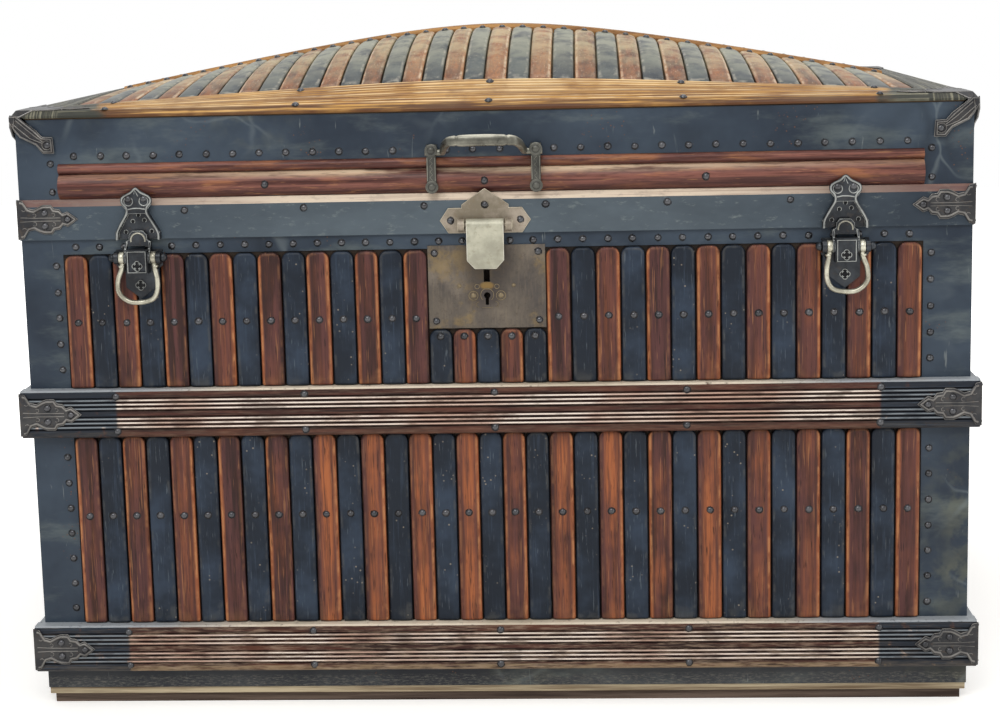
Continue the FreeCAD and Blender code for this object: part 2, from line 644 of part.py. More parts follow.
def latch_base(name, middle):
    half, neck = "base_half", "base_neck"
    top, step, low = "box_top - gauge", "box_base + base_neck/2", "box_base - base_neck"
    right = [(f"{middle} + {neck}", low), (f"{middle} + {neck}", "box_base"), (f"{middle} + {half}", step)]
    right.append((f"{middle} + {half}", top))
    left = [(f"{middle} - {u[len(middle) + 3:]}", z) for u, z in reversed(right)]
    leaf = outline_body(
        f"{name}_leaf", "XZ_Plane", [(middle, "base_tip")] + right + left, "base_gauge", y=SLAT_FACE
    )
    pieces = [leaf]
    pieces.append(
        box(
            f"{name}_box", "2*box_half", "box_thick", "box_top - box_base", f"{middle} - box_half",
            f"{LATCH_FACE} - box_thick", "box_base",
        )
    )
    for word, start in (("left", f"{middle} - {EAR_INNER} - ear_long"), ("right", f"{middle} + {EAR_INNER}")):
        pieces.append(
            rod(f"{name}_ear_{word}", "ear_radius", "ear_long", start, LATCH_AXIS, "latch_pivot", "X")
        )
        pieces.append(
            box(
                f"{name}_web_{word}", "ear_long", "latch_stand", "2*ear_radius", start, LATCH_AXIS,
                "latch_pivot - ear_radius",
            )
        )
    reach = f"({EAR_INNER} + ear_long)"
    pieces.append(
        rod(f"{name}_pin", "latch_pin", f"2*{reach}", f"{middle} - {reach}", LATCH_AXIS, "latch_pivot", "X")
    )
    for word, sign in (("left", "-"), ("right", "+")):
        knob = doc.addObject("Part::Sphere", f"{name}_ball_{word}")
        bind(knob, "Radius", "ball")
        pieces.append(place(knob, f"{middle} {sign} ({reach} + ball/2)", LATCH_AXIS, "latch_pivot"))
    return fuse(name, pieces)


def keeper(name, middle):
    """Bell-shaped keeper with a raised rim, open in front and below for the tongue."""
    low, bell = LID_BASE, f"{LID_BASE} + keeper_half/3"
    outline = [
        (f"{middle} - keeper_half", low), (f"{middle} + keeper_half", low), (f"{middle} + keeper_half", bell),
        (f"{middle} + keeper_half*0.45", "keeper_neck"), (f"{middle} - keeper_half*0.45", "keeper_neck"),
        (f"{middle} - keeper_half", bell),
    ]
    rim = outline_body(name + "_rim", "XZ_Plane", outline, "keeper_rim", y=VALANCE_FACE)
    side = "(keeper_half - keeper_wall)"
    ceiling = "keeper_neck - keeper_wall"
    hollow = [
        (f"{middle} - {side}", f"{low} - wall"), (f"{middle} + {side}", f"{low} - wall"),
        (f"{middle} + {side}", bell), (f"{middle} + keeper_half*0.45 - keeper_wall/2", ceiling),
        (f"{middle} - keeper_half*0.45 + keeper_wall/2", ceiling), (f"{middle} - {side}", bell),
    ]
    tool = outline_body(
        name + "_hollow", "XZ_Plane", hollow, "keeper_rim", y=f"{VALANCE_FACE} - keeper_plate"
    )
    crest = f"({VALANCE_FACE} - keeper_rim)"
    right = [
        (f"{middle} + keeper_half*0.45", "keeper_neck - keeper_wall"),
        (f"{middle} + keeper_half*0.45", "keeper_neck"), (f"{middle} + keeper_half*0.68", "keeper_brow"),
        (f"{middle} + keeper_half*0.68", "keeper_row"), (f"{middle} + keeper_half*0.2", "keeper_tip - keeper_wall"),
    ]
    left = [(u.replace(f"{middle} +", f"{middle} -"), z) for u, z in reversed(right)]
    tip = right + [(middle, "keeper_tip")] + left
    leaf = outline_body(name + "_tip", "XZ_Plane", tip, "keeper_wall", y=f"{crest} + keeper_wall")
    return fuse(name, [cut(name + "_bell", rim, tool), leaf])


def cross_screw(middle, y, z):
    """A round screw head with a cross slot, facing -Y."""
    radius, high = val("screw_radius"), val("screw_high")
    head = Part.makeCone(radius, radius * 0.7, high, V(middle, y, z), V(0, -1, 0))
    arm, slot = radius * 1.1, radius * 0.22
    for wide, tall in ((arm, slot), (slot, arm)):
        head = head.cut(Part.makeBox(wide, high, tall, V(middle - wide / 2, y - 1.5 * high, z - tall / 2)))
    return head


def latches():
    sides = ("left", "right")
    node(group("latch_bases", [latch_base(f"latch_base_{s}", f"latch_{s}_x") for s in sides]))
    screws = []
    for word in sides:
        middle = val(f"latch_{word}_x")
        upper = val("(box_base + latch_pivot)/2")
        screws.append(cross_screw(middle, val(f"{LATCH_FACE} - box_thick"), upper))
        screws.append(cross_screw(middle, val(LATCH_FACE), val("box_base - base_neck + screw_radius/2")))
    node(solids("latch_screws", screws))
    for word in sides:
        middle = val(f"latch_{word}_x")
        node(solids(f"latch_lever_{word}", [latch_lever(middle)]))
        node(solids(f"latch_bail_{word}", [latch_bail(middle)]))
    node(group("latch_keepers", [keeper(f"latch_keeper_{s}", f"latch_{s}_x") for s in sides]))


# ---------------------------------------------------------------- lifting handle on the lid
def lid_handle():
    half, width = "handle_half", "post_width"
    y = f"{FRONT} - round_thick - fit - post_thick"
    foot = f"{FRONT} - gauge"
    axis = f"({FRONT} - round_thick - gauge)"
    posts = []
    for word, sign in (("left", "-"), ("right", "+")):
        x = f"lock_x {sign} {half} - {width}/2"
        post = box(f"post_{word}_shank", width, "post_thick", "post_high - post_low", x, y, "post_low")
        back = box(
            f"post_{word}_foot", width, f"{foot} - ({y})", "post_high - foot_low", x, y, "foot_low"
        )
        bore = rod(f"post_{word}_bore", "stud + pin_play", width, x, axis, "handle_pivot", "X")
        posts.append(cut(f"post_{word}", fuse(f"post_{word}_solid", [post, back]), bore))
    node(group("handle_posts", posts))
    tilt = math.radians(val("handle_tilt"))
    out = V(0, -math.cos(tilt), math.sin(tilt)) * val("handle_reach")
    hinge = V(val("lock_x"), val(axis), val("handle_pivot"))
    outer, inner, grip = val(f"{half} + {width}/2"), val(f"{half} - handle_inset"), val("grip_half")
    right = [hinge + out + X_AXIS * grip, hinge + X_AXIS * inner, hinge + X_AXIS * outer]
    left = [hinge - X_AXIS * outer, hinge - X_AXIS * inner, hinge + out - X_AXIS * grip]
    bar = bent_bar(left + right, val("stud") + 1, val("stud"))
    long = 1.4 * grip
    swell = Part.makeCylinder(val("grip_radius"), long, hinge + out - X_AXIS * (long / 2), X_AXIS)
    node(solids("lid_handle", [joined([bar, swell])]))


# ---------------------------------------------------------------- rear hinges
HINGE_Y = "(case_depth/2 + hinge_stand)"
HINGE_Z = "(seam_height + seam_gap/2)"


def hinges():
    """Three butt hinges: outer knuckles on the case leaf, middle knuckle on the lid leaf."""
    body_leaves, lid_leaves, pins = [], [], []
    width, gauge = val("hinge_width"), val("hinge_gauge")
    back, y, z = val("case_depth/2 + gauge"), val(HINGE_Y), val(HINGE_Z)
    knuckle, pin, play = val("hinge_knuckle"), val("pin_radius"), val("pin_play")
    reach, leaf = val("hinge_reach"), val("hinge_leaf")
    third, gap = width / 3, val("fit")
    for step in (-1, 0, 1):
        x = step * val("hinge_pitch") - width / 2
        lower = [Part.makeBox(width, gauge, leaf - reach, V(x, back, z - leaf))]
        upper = [Part.makeBox(width, gauge, leaf - reach, V(x, back, z + reach))]
        for start, turn, leaves in ((0, -1, lower), (third, 1, upper), (2 * third, -1, lower)):
            start = x + start + gap / 2
            long = third - gap
            leaves.append(Part.makeCylinder(knuckle, long, V(start, y, z), X_AXIS))
            base = z if turn > 0 else z - reach - gauge
            leaves.append(Part.makeBox(long, gauge, reach + gauge, V(start, back, base)))
        bore = Part.makeCylinder(pin, width, V(x, y, z), X_AXIS)
        wide = Part.makeCylinder(pin + play, width, V(x, y, z), X_AXIS)
        body_leaves.append(joined(lower).cut(bore))
        lid_leaves.append(joined(upper).cut(wide))
        pins.append(bore)
    node(solids("hinge_body_leaves", body_leaves))
    node(solids("hinge_pins", pins))
    node(solids("hinge_lid_leaves", lid_leaves))


# ---------------------------------------------------------------- leather side handles
def side_handles():
    face, stand, z = val(f"{END} + slat_thick"), val("side_stand"), val("side_z")
    half, wide, tall = val("side_half"), val("loop_width"), val("loop_height")
    gauge, lug, stud = val("loop_gauge"), val("lug_radius"), val("stud")
    grip, boss, drop = val("side_grip"), val("side_boss"), val("side_drop")
    axis = face + stand
    inner = half - wide / 2
    leg = inner - val("joint_gap") - grip
    eyes, pins, ends = [], [], []
    for side in (-1, 1):
        low = side * half - wide / 2
        backing = Part.makeBox(gauge, wide, tall, V(face, low, z - tall / 2))
        arm = Part.makeBox(stand, wide, 2 * lug, V(face, low, z - lug))
        barrel = Part.makeCylinder(lug, wide, V(axis, low, z), Y_AXIS)
        bore = Part.makeCylinder(stud + val("pin_play"), wide, V(axis, low, z), Y_AXIS)
        eyes.append(joined([backing, arm, barrel]).cut(bore))
        tip = side * (half + wide / 2)
        root = side * (leg - grip)
        pins.append(Part.makeCylinder(stud, abs(tip - root), V(axis, min(tip, root), z), Y_AXIS))
        ends.append(Part.makeCylinder(boss, 2 * grip, V(axis, side * leg - grip, z), Y_AXIS))
    right = [V(axis, leg - drop / 3, z - drop), V(axis, leg, z)]
    left = [V(p.x, -p.y, p.z) for p in reversed(right)]
    strap = joined([bent_bar(left + right, drop / 2, grip)] + ends)
    for pin in pins:
        strap = strap.cut(pin)
    groups = {"loops": eyes, "grip": [strap], "pins": pins}
    flipped = {key: [shape.mirror(V(0, 0, 0), X_AXIS) for shape in shapes] for key, shapes in groups.items()}
    node(solids("side_handle_loops", eyes + flipped["loops"]))
    node(solids("right_handle_grip", groups["grip"]))
    node(solids("right_handle_pins", groups["pins"]))
    node(solids("left_handle_grip", flipped["grip"]))
    node(solids("left_handle_pins", flipped["pins"]))


# ---------------------------------------------------------------- tray and linings
INNER_X = f"({END} - wall)"
INNER_Y = "(case_depth/2 - wall)"
TRAY_X = f"({INNER_X} - paper - tray_play)"
TRAY_Y = f"({INNER_Y} - paper - tray_play)"


def tray():
    length = f"2*({INNER_Y} - paper)"
    runner = box(
        "runner_right", "runner_wide", length, "runner_high", f"{INNER_X} - paper - runner_wide",
        f"-({INNER_Y} - paper)", "tray_base - runner_high",
    )
    node(group("tray_runners", [runner, mirror("runner_left", runner, "X")]))
    long, wide = f"2*{TRAY_X}", f"2*{TRAY_Y}"
    node(box("tray_bottom", long, wide, "tray_floor", f"-{TRAY_X}", f"-{TRAY_Y}", "tray_base"))
    base, high = "tray_base + tray_floor", "tray_height - tray_floor"
    outer = box("tray_outer", long, wide, high, f"-{TRAY_X}", f"-{TRAY_Y}", base)
    inner = box(
        "tray_inner", f"2*({TRAY_X} - tray_board)", f"2*({TRAY_Y} - tray_board)", high,
        f"-({TRAY_X} - tray_board)", f"-({TRAY_Y} - tray_board)", base,
    )
    node(cut("tray_walls", outer, inner))
    divider = box(
        "tray_divider_right", "tray_board", f"2*({TRAY_Y} - tray_board)", f"{high} - divider_drop",
        "divider_near", f"-({TRAY_Y} - tray_board)", base,
    )
    node(group("tray_dividers", [divider, mirror("tray_divider_left", divider, "X")]))
    pull = box(
        "tray_pull_right", "pull_thick", "pull_width", "pull_high", f"{TRAY_X} - tray_board - pull_thick",
        "-pull_width/2", "tray_base + tray_height + pull_rise - pull_high",
    )
    node(group("tray_pulls", [pull, mirror("tray_pull_left", pull, "X")]))


def lining(name, base, high):
    """Paper on the four inner faces between two levels."""
    tall = f"{high} - {base}"
    front = box(name + "_front", f"2*{INNER_X}", "paper", tall, f"-{INNER_X}", f"-{INNER_Y}", base)
    end = box(
        name + "_right", "paper", f"2*({INNER_Y} - paper)", tall, f"{INNER_X} - paper",
        f"-({INNER_Y} - paper)", base,
    )
    return [front, mirror(name + "_back", front, "Y"), end, mirror(name + "_left", end, "X")]


def case_lining():
    floor = box(
        "lining_floor", f"2*({INNER_X} - paper)", f"2*({INNER_Y} - paper)", "paper", f"-({INNER_X} - paper)",
        f"-({INNER_Y} - paper)", FLOOR,
    )
    node(group("body_lining", lining("lining", FLOOR, SEAM) + [floor]))


# ---------------------------------------------------------------- the curved lid
HALF_X = val(END)
HALF_Y = val("case_depth/2")
EDGE_Z = val(EDGE)
RISE = val("crown_rise")
SHARP = val("crown_sharp")
ROUND = math.hypot(1, SHARP)


def dome_height(x, y):
    """Outer surface of the lid: highest in the middle, level along its four edges."""
    along = (ROUND - math.hypot(x / HALF_X, SHARP)) / (ROUND - SHARP)
    across = 1 - (y / HALF_Y) ** 2
    return EDGE_Z + RISE * along * across


def dome_normal(x, y):
    step = 0.5
    slope_x = (dome_height(x + step, y) - dome_height(x - step, y)) / (2 * step)
    slope_y = (dome_height(x, y + step) - dome_height(x, y - step)) / (2 * step)
    return V(-slope_x, -slope_y, 1).normalize()


def spread(low, high, count):
    return [low + (high - low) * i / (count - 1) for i in range(count)]


def dome_face(half_x, half_y, drop):
    """The curved surface over a rectangle, lowered by drop."""
    grid = [[V(x, y, dome_height(x, y) - drop) for y in spread(-half_y, half_y, 13)]
            for x in spread(-half_x, half_x, 31)]
    surface = Part.BSplineSurface()
    surface.interpolate(grid)
    return surface.toShape()


def lid_boards():
    thick, base, wall = val("dome_thick"), val(LID_BASE), val("wall")
    above = dome_face(HALF_X, HALF_Y, thick).extrude(V(0, 0, 2 * RISE))
    high = val(LID_TOP) + RISE / 2 - base
    front = Part.makeBox(2 * HALF_X, wall, high, V(-HALF_X, -HALF_Y, base)).cut(above)
    end = Part.makeBox(wall, 2 * (HALF_Y - wall), high, V(HALF_X - wall, wall - HALF_Y, base)).cut(above)
    node(solids("lid_front_board", [front]))
    node(solids("lid_back_board", [front.mirror(V(0, 0, 0), Y_AXIS)]))
    node(solids("lid_end_boards", [end, end.mirror(V(0, 0, 0), X_AXIS)]))
    node(solids("dome_shell", [dome_face(HALF_X, HALF_Y, 0).extrude(V(0, 0, -thick))]))
    paper = val("paper")
    inner_x, inner_y = val(f"{INNER_X} - paper"), val(f"{INNER_Y} - paper")
    ceiling = dome_face(inner_x, inner_y, thick + val("fit")).extrude(V(0, 0, -paper))
    doc.recompute()
    walls = group("lid_lining_walls", lining("lid_lining", LID_BASE, f"{LID_TOP} - paper"))
    doc.recompute()
    node(solids("lid_lining", walls.Shape.Solids + [ceiling]))


def ribbed(start, finish, thick, first, last, ribs):
    """Section of a rail on the dome: run from start to finish, grooved on top, its edges eased by
    first and last.

    Returns pairs (place along the run, height above the seat).
    """
    deep, wide = val("groove_depth"), val("groove_width")
    way = 1 if finish > start else -1
    points = [(start, 0), (start, thick - first), (start + way * first, thick)]
    middle = (start + finish) / 2
    for place_along in ribs:
        centre = middle + way * place_along
        points += [(centre - way * wide / 2, thick), (centre, thick - deep), (centre + way * wide / 2, thick)]
    return points + [(finish - way * last, thick), (finish, thick - last), (finish, 0)]


RIBS = [bank + step for bank in (-val("groove_bank"), val("groove_bank")) for step in (-4, 0, 4)]


def seat(x, y):
    """Height of the dome under a rail, level beyond its edge."""
    x = max(-HALF_X, min(HALF_X, x))
    y = max(-HALF_Y, min(HALF_Y, y))
    return dome_height(x, y) + val("seat_gap")


def rail_loft(section, stations, along):
    """Rail through the section carried along one axis over the dome."""
    wires = []
    inner = [u for u, height in section if height == 0]
    under = spread(inner[1], inner[0], 4)[1:-1]
    for place_along in stations:
        points = []
        for u, height in section + [(u, 0) for u in under]:
            x, y = (place_along, u) if along == "x" else (u, place_along)
            points.append(V(x, y, seat(x, y) + height))
        wires.append(Part.makePolygon(points + points[:1]))
    return Part.makeLoft(wires, True, False)


TOP_THICK = val("top_rail_thick")
NOSE = val("top_rail_nose")
OUTER_X = HALF_X + val("gauge + top_rail_lip")
OUTER_Y = HALF_Y + val("top_rail_lip")


def dome_rails():
    """Rails round the foot of the dome and along its ridge; the four corners are eased both ways."""
    width, ease = val("top_rail_width"), val("rail_bevel")
    section = ribbed(-OUTER_Y, width - OUTER_Y, TOP_THICK, NOSE, ease, RIBS)
    front = rail_loft(section, spread(-OUTER_X, OUTER_X, 13), "x")
    high = EDGE_Z + val("seat_gap") + TOP_THICK
    chip = [(OUTER_X + 1, high - NOSE - 1), (OUTER_X + 1, high + NOSE), (OUTER_X - 2 * NOSE, high + NOSE)]
    chip = plate([V(x, -OUTER_Y, z) for x, z in chip], V(0, width, 0))
    front = front.cut(chip).cut(chip.mirror(V(0, 0, 0), X_AXIS))
    reach = OUTER_Y - width - val("fit")
    section = ribbed(OUTER_X, OUTER_X - width, TOP_THICK, NOSE, ease, RIBS)
    end = rail_loft(section, spread(-reach, reach, 9), "y")
    rails = [front, front.mirror(V(0, 0, 0), Y_AXIS), end, end.mirror(V(0, 0, 0), X_AXIS)]
    node(solids("top_rails", rails))
    half, stop, ease = val("ridge_half"), OUTER_X - width - val("fit"), val("ridge_ease")
    section = ribbed(-half, half, val("ridge_thick"), ease, ease, RIBS)
    node(solids("ridge_rail", [rail_loft(section, spread(-stop, stop, 15), "x")]))
    return front, end


def dome_slat(left, right, near, far, thick, bevel):
    wires = []
    for y in spread(near, far, 6):
        low, high = seat(left, y), seat(right, y)
        points = [V(left, y, low), V(right, y, high), V(right, y, high + thick - bevel)]
        points += [V(right - 1.5 * bevel, y, high + thick), V(left + 1.5 * bevel, y, low + thick)]
        points.append(V(left, y, low + thick - bevel))
        wires.append(Part.makePolygon(points + points[:1]))
    return Part.makeLoft(wires, True, False)


def dome_columns():
    """Left and right edge of each slat place across the lid, from the left."""
    edges = []
    split, stop, gap = val("dome_split"), val("dome_end"), val("slat_gap")
    for low, high, count in (
        (-stop, split, int(val("dome_left_count"))),
        (split, stop, int(val("dome_right_count"))),
    ):
        pitch = (high - low) / count
        edges += [(low + i * pitch + gap / 2, low + (i + 1) * pitch - gap / 2) for i in range(count)]
    return edges


def dome_slats():
    near = -(HALF_Y + val("top_rail_lip - top_rail_width")) + val("fit")
    far = -val("ridge_half") - val("slat_gap")
    thick, bevel = val("dome_slat_thick"), val("slat_round") / 2
    colours = {"brown": [], "black": []}
    for i, (left, right) in enumerate(dome_columns()):
        slat_shape = dome_slat(left, right, near, far, thick, bevel)
        colours["black" if i % 2 else "brown"] += [slat_shape, slat_shape.mirror(V(0, 0, 0), Y_AXIS)]
    for colour, shapes in colours.items():
        node(solids(f"dome_slats_{colour}", shapes))


# ---------------------------------------------------------------- mouldings and metal of the lid
def half_round(low, high, thick, start, long):
    """Half-round moulding on the front face from start, running along X."""
    face = val(FRONT)
    bulge = Part.Arc(V(start, face, low), V(start, face - thick, (low + high) / 2), V(start, face, high))
    back = Part.LineSegment(V(start, face, high), V(start, face, low))
    profile = Part.Wire([bulge.toShape(), back.toShape()])
    return Part.Face(profile).extrude(V(long, 0, 0))


def to_end(shape):
    """A front piece turned onto the right end."""
    turned = shape.copy()
    turned.rotate(V(0, 0, 0), Z_AXIS, 90)
    turned.translate(V(HALF_X - HALF_Y, 0, 0))
    return turned


def lid_trim():
    seam = val(SEAM)
    left, right = val(f"-{END} + leaf_left"), val(f"{END} - leaf_right")
    side = HALF_Y - val("leaf_end")
    mouldings = []
    strips = (("bevel_top", "round_top", "round_thick"), ("round_top", "bead_top", "bead_thick"))
    for low, high, thick in strips:
        sizes = (seam + val(low), seam + val(high), val(thick))
        mouldings.append(half_round(*sizes, left, right - left))
        end = to_end(half_round(*sizes, -side, 2 * side))
        mouldings += [end, end.mirror(V(0, 0, 0), X_AXIS)]
    node(solids("lid_mouldings", mouldings))
    gauge, top = "gauge", f"{LID_TOP} + dome_thick - gauge"
    base = f"({SEAM} + bead_top)"
    long = "case_length - leaf_left - leaf_right"
    front = box(
        "lid_band_front", long, gauge, f"{top} - {base}", f"-{END} + leaf_left", f"{FRONT} - gauge", base
    )
    back = box(
        "lid_band_back", long, gauge, f"{top} - {LID_BASE}", f"-{END} + leaf_left", "case_depth/2", LID_BASE
    )
    end = box(
        "lid_band_right", gauge, "case_depth - 2*leaf_end", f"{top} - {base}", END, f"{FRONT} + leaf_end", base
    )
    node(group("lid_metal_bands", [front, back, end, mirror("lid_band_left", end, "X")]))
    foot = f"({SEAM} + bevel_top)"
    node(group("lid_corner_bindings", four_angles("lid_angle", foot, f"{top} - {foot}")))


def valance_section(face, sign):
    """Upright board with a bevelled top, outward from a wall face."""
    outer = f"{face} {sign} valance_thick"
    bevel = f"{face} {sign} bevel_thick"
    return [
        (face, LID_BASE), (outer, LID_BASE), (outer, f"{SEAM} + valance_top"), (bevel, f"{SEAM} + bevel_top"),
        (face, f"{SEAM} + bevel_top"),
    ]


CLAMP_HALF_OUTLINE = (
    (0, 0.93), (0.1, 0.88), (0.17, 0.55), (0.28, 0.47), (0.38, 0.62), (0.44, 0.68), (0.57, 0.68),
    (0.61, 0.5), (0.7, 0.47), (0.75, 0.27), (0.83, 0.36),
)
CLAMP_RIVETS = ((0.43, -0.3), (0.43, 0.3), (0.81, 0))


def corner_clamp(outer_x, outer_y, middle, long, half):
    """Scalloped plate bent round the front right corner, as shares of its length and half height."""
    gauge = val("clamp_gauge")
    upper = [(u * long, w * half) for u, w in CLAMP_HALF_OUTLINE]
    outline = upper + [(long, 0)] + [(u, -w) for u, w in reversed(upper)]
    front = plate([V(outer_x + gauge - u, -outer_y - gauge, middle + w) for u, w in outline], V(0, gauge, 0))
    end = plate([V(outer_x, -outer_y - gauge + u, middle + w) for u, w in outline], V(gauge, 0, 0))
    return joined([front, end])


def clamp_rivets(outer_x, outer_y, middle, long, half):
    """Places of the rivets in the front leaves of a pair of clamps."""
    face = -outer_y - val("clamp_gauge")
    return [
        V(sign * (outer_x - u * long), face, middle + w * half) for u, w in CLAMP_RIVETS for sign in (-1, 1)
    ]


def lid_clamp_sizes():
    return val("lid_clamp_z"), val("lid_clamp_long"), val("lid_clamp_half")


def lid_valances():
    front = outline_body(
        "valance_front", "YZ_Plane", valance_section(FRONT, "-"), "case_length + 2*valance_side",
        x=f"-{END} - valance_side",
    )
    end = box(
        "valance_right", "valance_side", "case_depth", f"{SEAM} + bevel_top - {LID_BASE}", END, FRONT, LID_BASE
    )
    node(group("lid_valances", [front, end, mirror("valance_left", end, "X")]))
    outer_x = HALF_X + val("valance_side")
    front = corner_clamp(outer_x, HALF_Y + val("valance_thick"), *lid_clamp_sizes())
    back = corner_clamp(outer_x, HALF_Y + val("gauge"), *lid_clamp_sizes()).mirror(V(0, 0, 0), Y_AXIS)
    across = [shape.mirror(V(0, 0, 0), X_AXIS) for shape in (front, back)]
    node(solids("lid_corner_clamps", [front, back] + across))


CAP_ARM = ((20, 4.5), (40, 4.5), (46, 11), (54, 9), (72, 14), (54, 21), (46, 19), (42, 30), (30, 30))
CAP_STRAP = (
    (7, 0), (24, -13), (29, -19), (39, -19.5), (40, -35), (29, -35), (23, -27), (8, -19.5), (3, -13),
)
CAP_RIVET = (34, -27)


def cap_height(x, y):
    """Top of the rails near the front right corner, its nose eased along both edges."""
    inset = min(OUTER_X - x, y + OUTER_Y)
    return seat(x, y) + TOP_THICK - max(0, NOSE - inset)


def top_caps(rails):
    """Sheet caps on the corners of the top rails: scalloped arms above, slanting straps down both faces."""
    gauge, long, overlap = val("cap_gauge"), val("cap_long"), val("joint_gap")
    inward = [-gauge, NOSE, long / 4, long / 2, long]
    wires = []
    for u in inward:
        top = [V(OUTER_X - u, v - OUTER_Y, cap_height(OUTER_X - u, v - OUTER_Y)) for v in inward]
        low = [point - Z_AXIS * overlap for point in reversed(top)]
        wires.append(Part.makePolygon([p + Z_AXIS * gauge for p in top] + low + [top[0] + Z_AXIS * gauge]))
    cover = Part.makeLoft(wires, True, True)
    arm = [(-gauge, -gauge), (CAP_STRAP[0][0] + gauge, -gauge)] + list(CAP_ARM)
    arm += [(v, u) for u, v in reversed(arm[1:-1])]
    low, high = EDGE_Z, V(0, 0, RISE)
    cover = cover.common(plate([V(OUTER_X - u, v - OUTER_Y, low) for u, v in arm], high))
    for rail in rails:
        cover = cover.cut(rail)
    level = low + val("seat_gap") + TOP_THICK - NOSE
    strap = [(-gauge, level)] + [(u, level + w) for u, w in CAP_STRAP] + [(-gauge, level - NOSE)]
    front = plate([V(OUTER_X - u, -OUTER_Y - gauge, z) for u, z in strap], V(0, gauge, 0))
    end = plate([V(OUTER_X, u - OUTER_Y, z) for u, z in strap], V(gauge, 0, 0))
    node(solids("top_corner_caps", four_ways(joined([cover, front, end]))))


# ---------------------------------------------------------------- corner clamps of the rails
def rail_clamp_sizes(base):
    return val(f"{base} + rail_height/2"), val("clamp_long"), val("clamp_half")


def rail_clamps():
    outer = val(f"{END} + rail_side"), val("case_depth/2 + rail_thick")
    clamps = []
    for base in ("low_rail_base", "mid_rail_base"):
        clamps += four_ways(corner_clamp(*outer, *rail_clamp_sizes(base)))
    node(solids("rail_clamps", clamps))


# ---------------------------------------------------------------- nails
def nail(point, direction):
    radius = val("nail_radius")
    return Part.makeCone(radius, radius * 0.55, val("nail_height"), point, direction)


def front_columns():
    """Middle of each slat place along the front, from the left."""
    edge = val("-slat_start")
    middles = []
    runs = (("pitch_left", "count_side"), ("pitch_lock", "count_lock"), ("pitch_right", "count_side"))
    for pitch, count in runs:
        width = val(pitch)
        middles += [edge + (i + 0.5) * width for i in range(int(val(count)))]
        edge += width * int(val(count))
    return middles


def level_row(low, high):
    """Places at the tack pitch, centred between two levels."""
    pitch = val("tack_pitch")
    count = int((high - low) / pitch) + 1
    start = (low + high - (count - 1) * pitch) / 2
    return [start + i * pitch for i in range(count)]


def body_nails():
    out, side = V(0, -1, 0), X_AXIS
    lock, slat_face, edge = val("lock_x"), val(SLAT_FACE), val("nail_edge")
    low, high, short = val("slat_nail_low"), val("slat_nail_high"), val("lock_base - nail_edge")
    metal, end_face = val(f"{FRONT} - gauge"), val(f"{END} + slat_thick")
    spots = []
    for x in front_columns():
        near_lock = abs(x - lock) < val("count_lock*pitch_lock/2")
        spots.append((V(x, slat_face, low), out))
        spots.append((V(x, slat_face, short if near_lock else high), out))
        if abs(x - lock) > val("pitch_lock/2"):
            spots.append((V(x, metal, val(f"{SEAM} - top_binding/2")), out))
    pitch = val("pitch_end")
    count = int(val("count_end"))
    for i in range(count):
        y = (i - (count - 1) / 2) * pitch
        for z in (low, high):
            spots.append((V(end_face, y, z), side))
            spots.append((V(-end_face, y, z), -side))
    runs = ((val(LOW_TOP), val("mid_rail_base")), (val(MID_TOP), val(SEAM)))
    for bottom, top in runs:
        for z in level_row(bottom + edge, top - 2 * edge):
            spots.append((V(val(f"-{END} + leaf_left") - edge, metal, z), out))
            spots.append((V(val(f"{END} - leaf_right") + edge, metal, z), out))
    face, rise, step = val(f"{FRONT} - rail_thick"), val("rail_nail_rise"), val("rail_nail_pitch")
    outer = val(f"{END} + rail_side"), -face
    for base in ("low_rail_base", "mid_rail_base"):
        middle = val(f"{base} + rail_height/2")
        for i in range(-2, 3):
            for shift in (-rise, rise):
                spots.append((V(i * step, face, middle + shift), out))
        spots += [(point, out) for point in clamp_rivets(*outer, *rail_clamp_sizes(base))]
    plate_face = metal - val("plate_gauge")
    half = val("count_lock*pitch_lock/2") - edge
    for x in (lock - half, lock + half):
        for z in (val("lock_base") + edge, val("lock_top") - edge):
            spots.append((V(x, plate_face, z), out))
    node(solids("body_rivets", [nail(point, way) for point, way in spots]))


def crown_spot(x, y, thick):
    """Place and direction of a nail on a rail or slat of the dome."""
    way = dome_normal(x, y)
    return V(x, y, seat(x, y) + thick) + way * val("nail_rest"), way


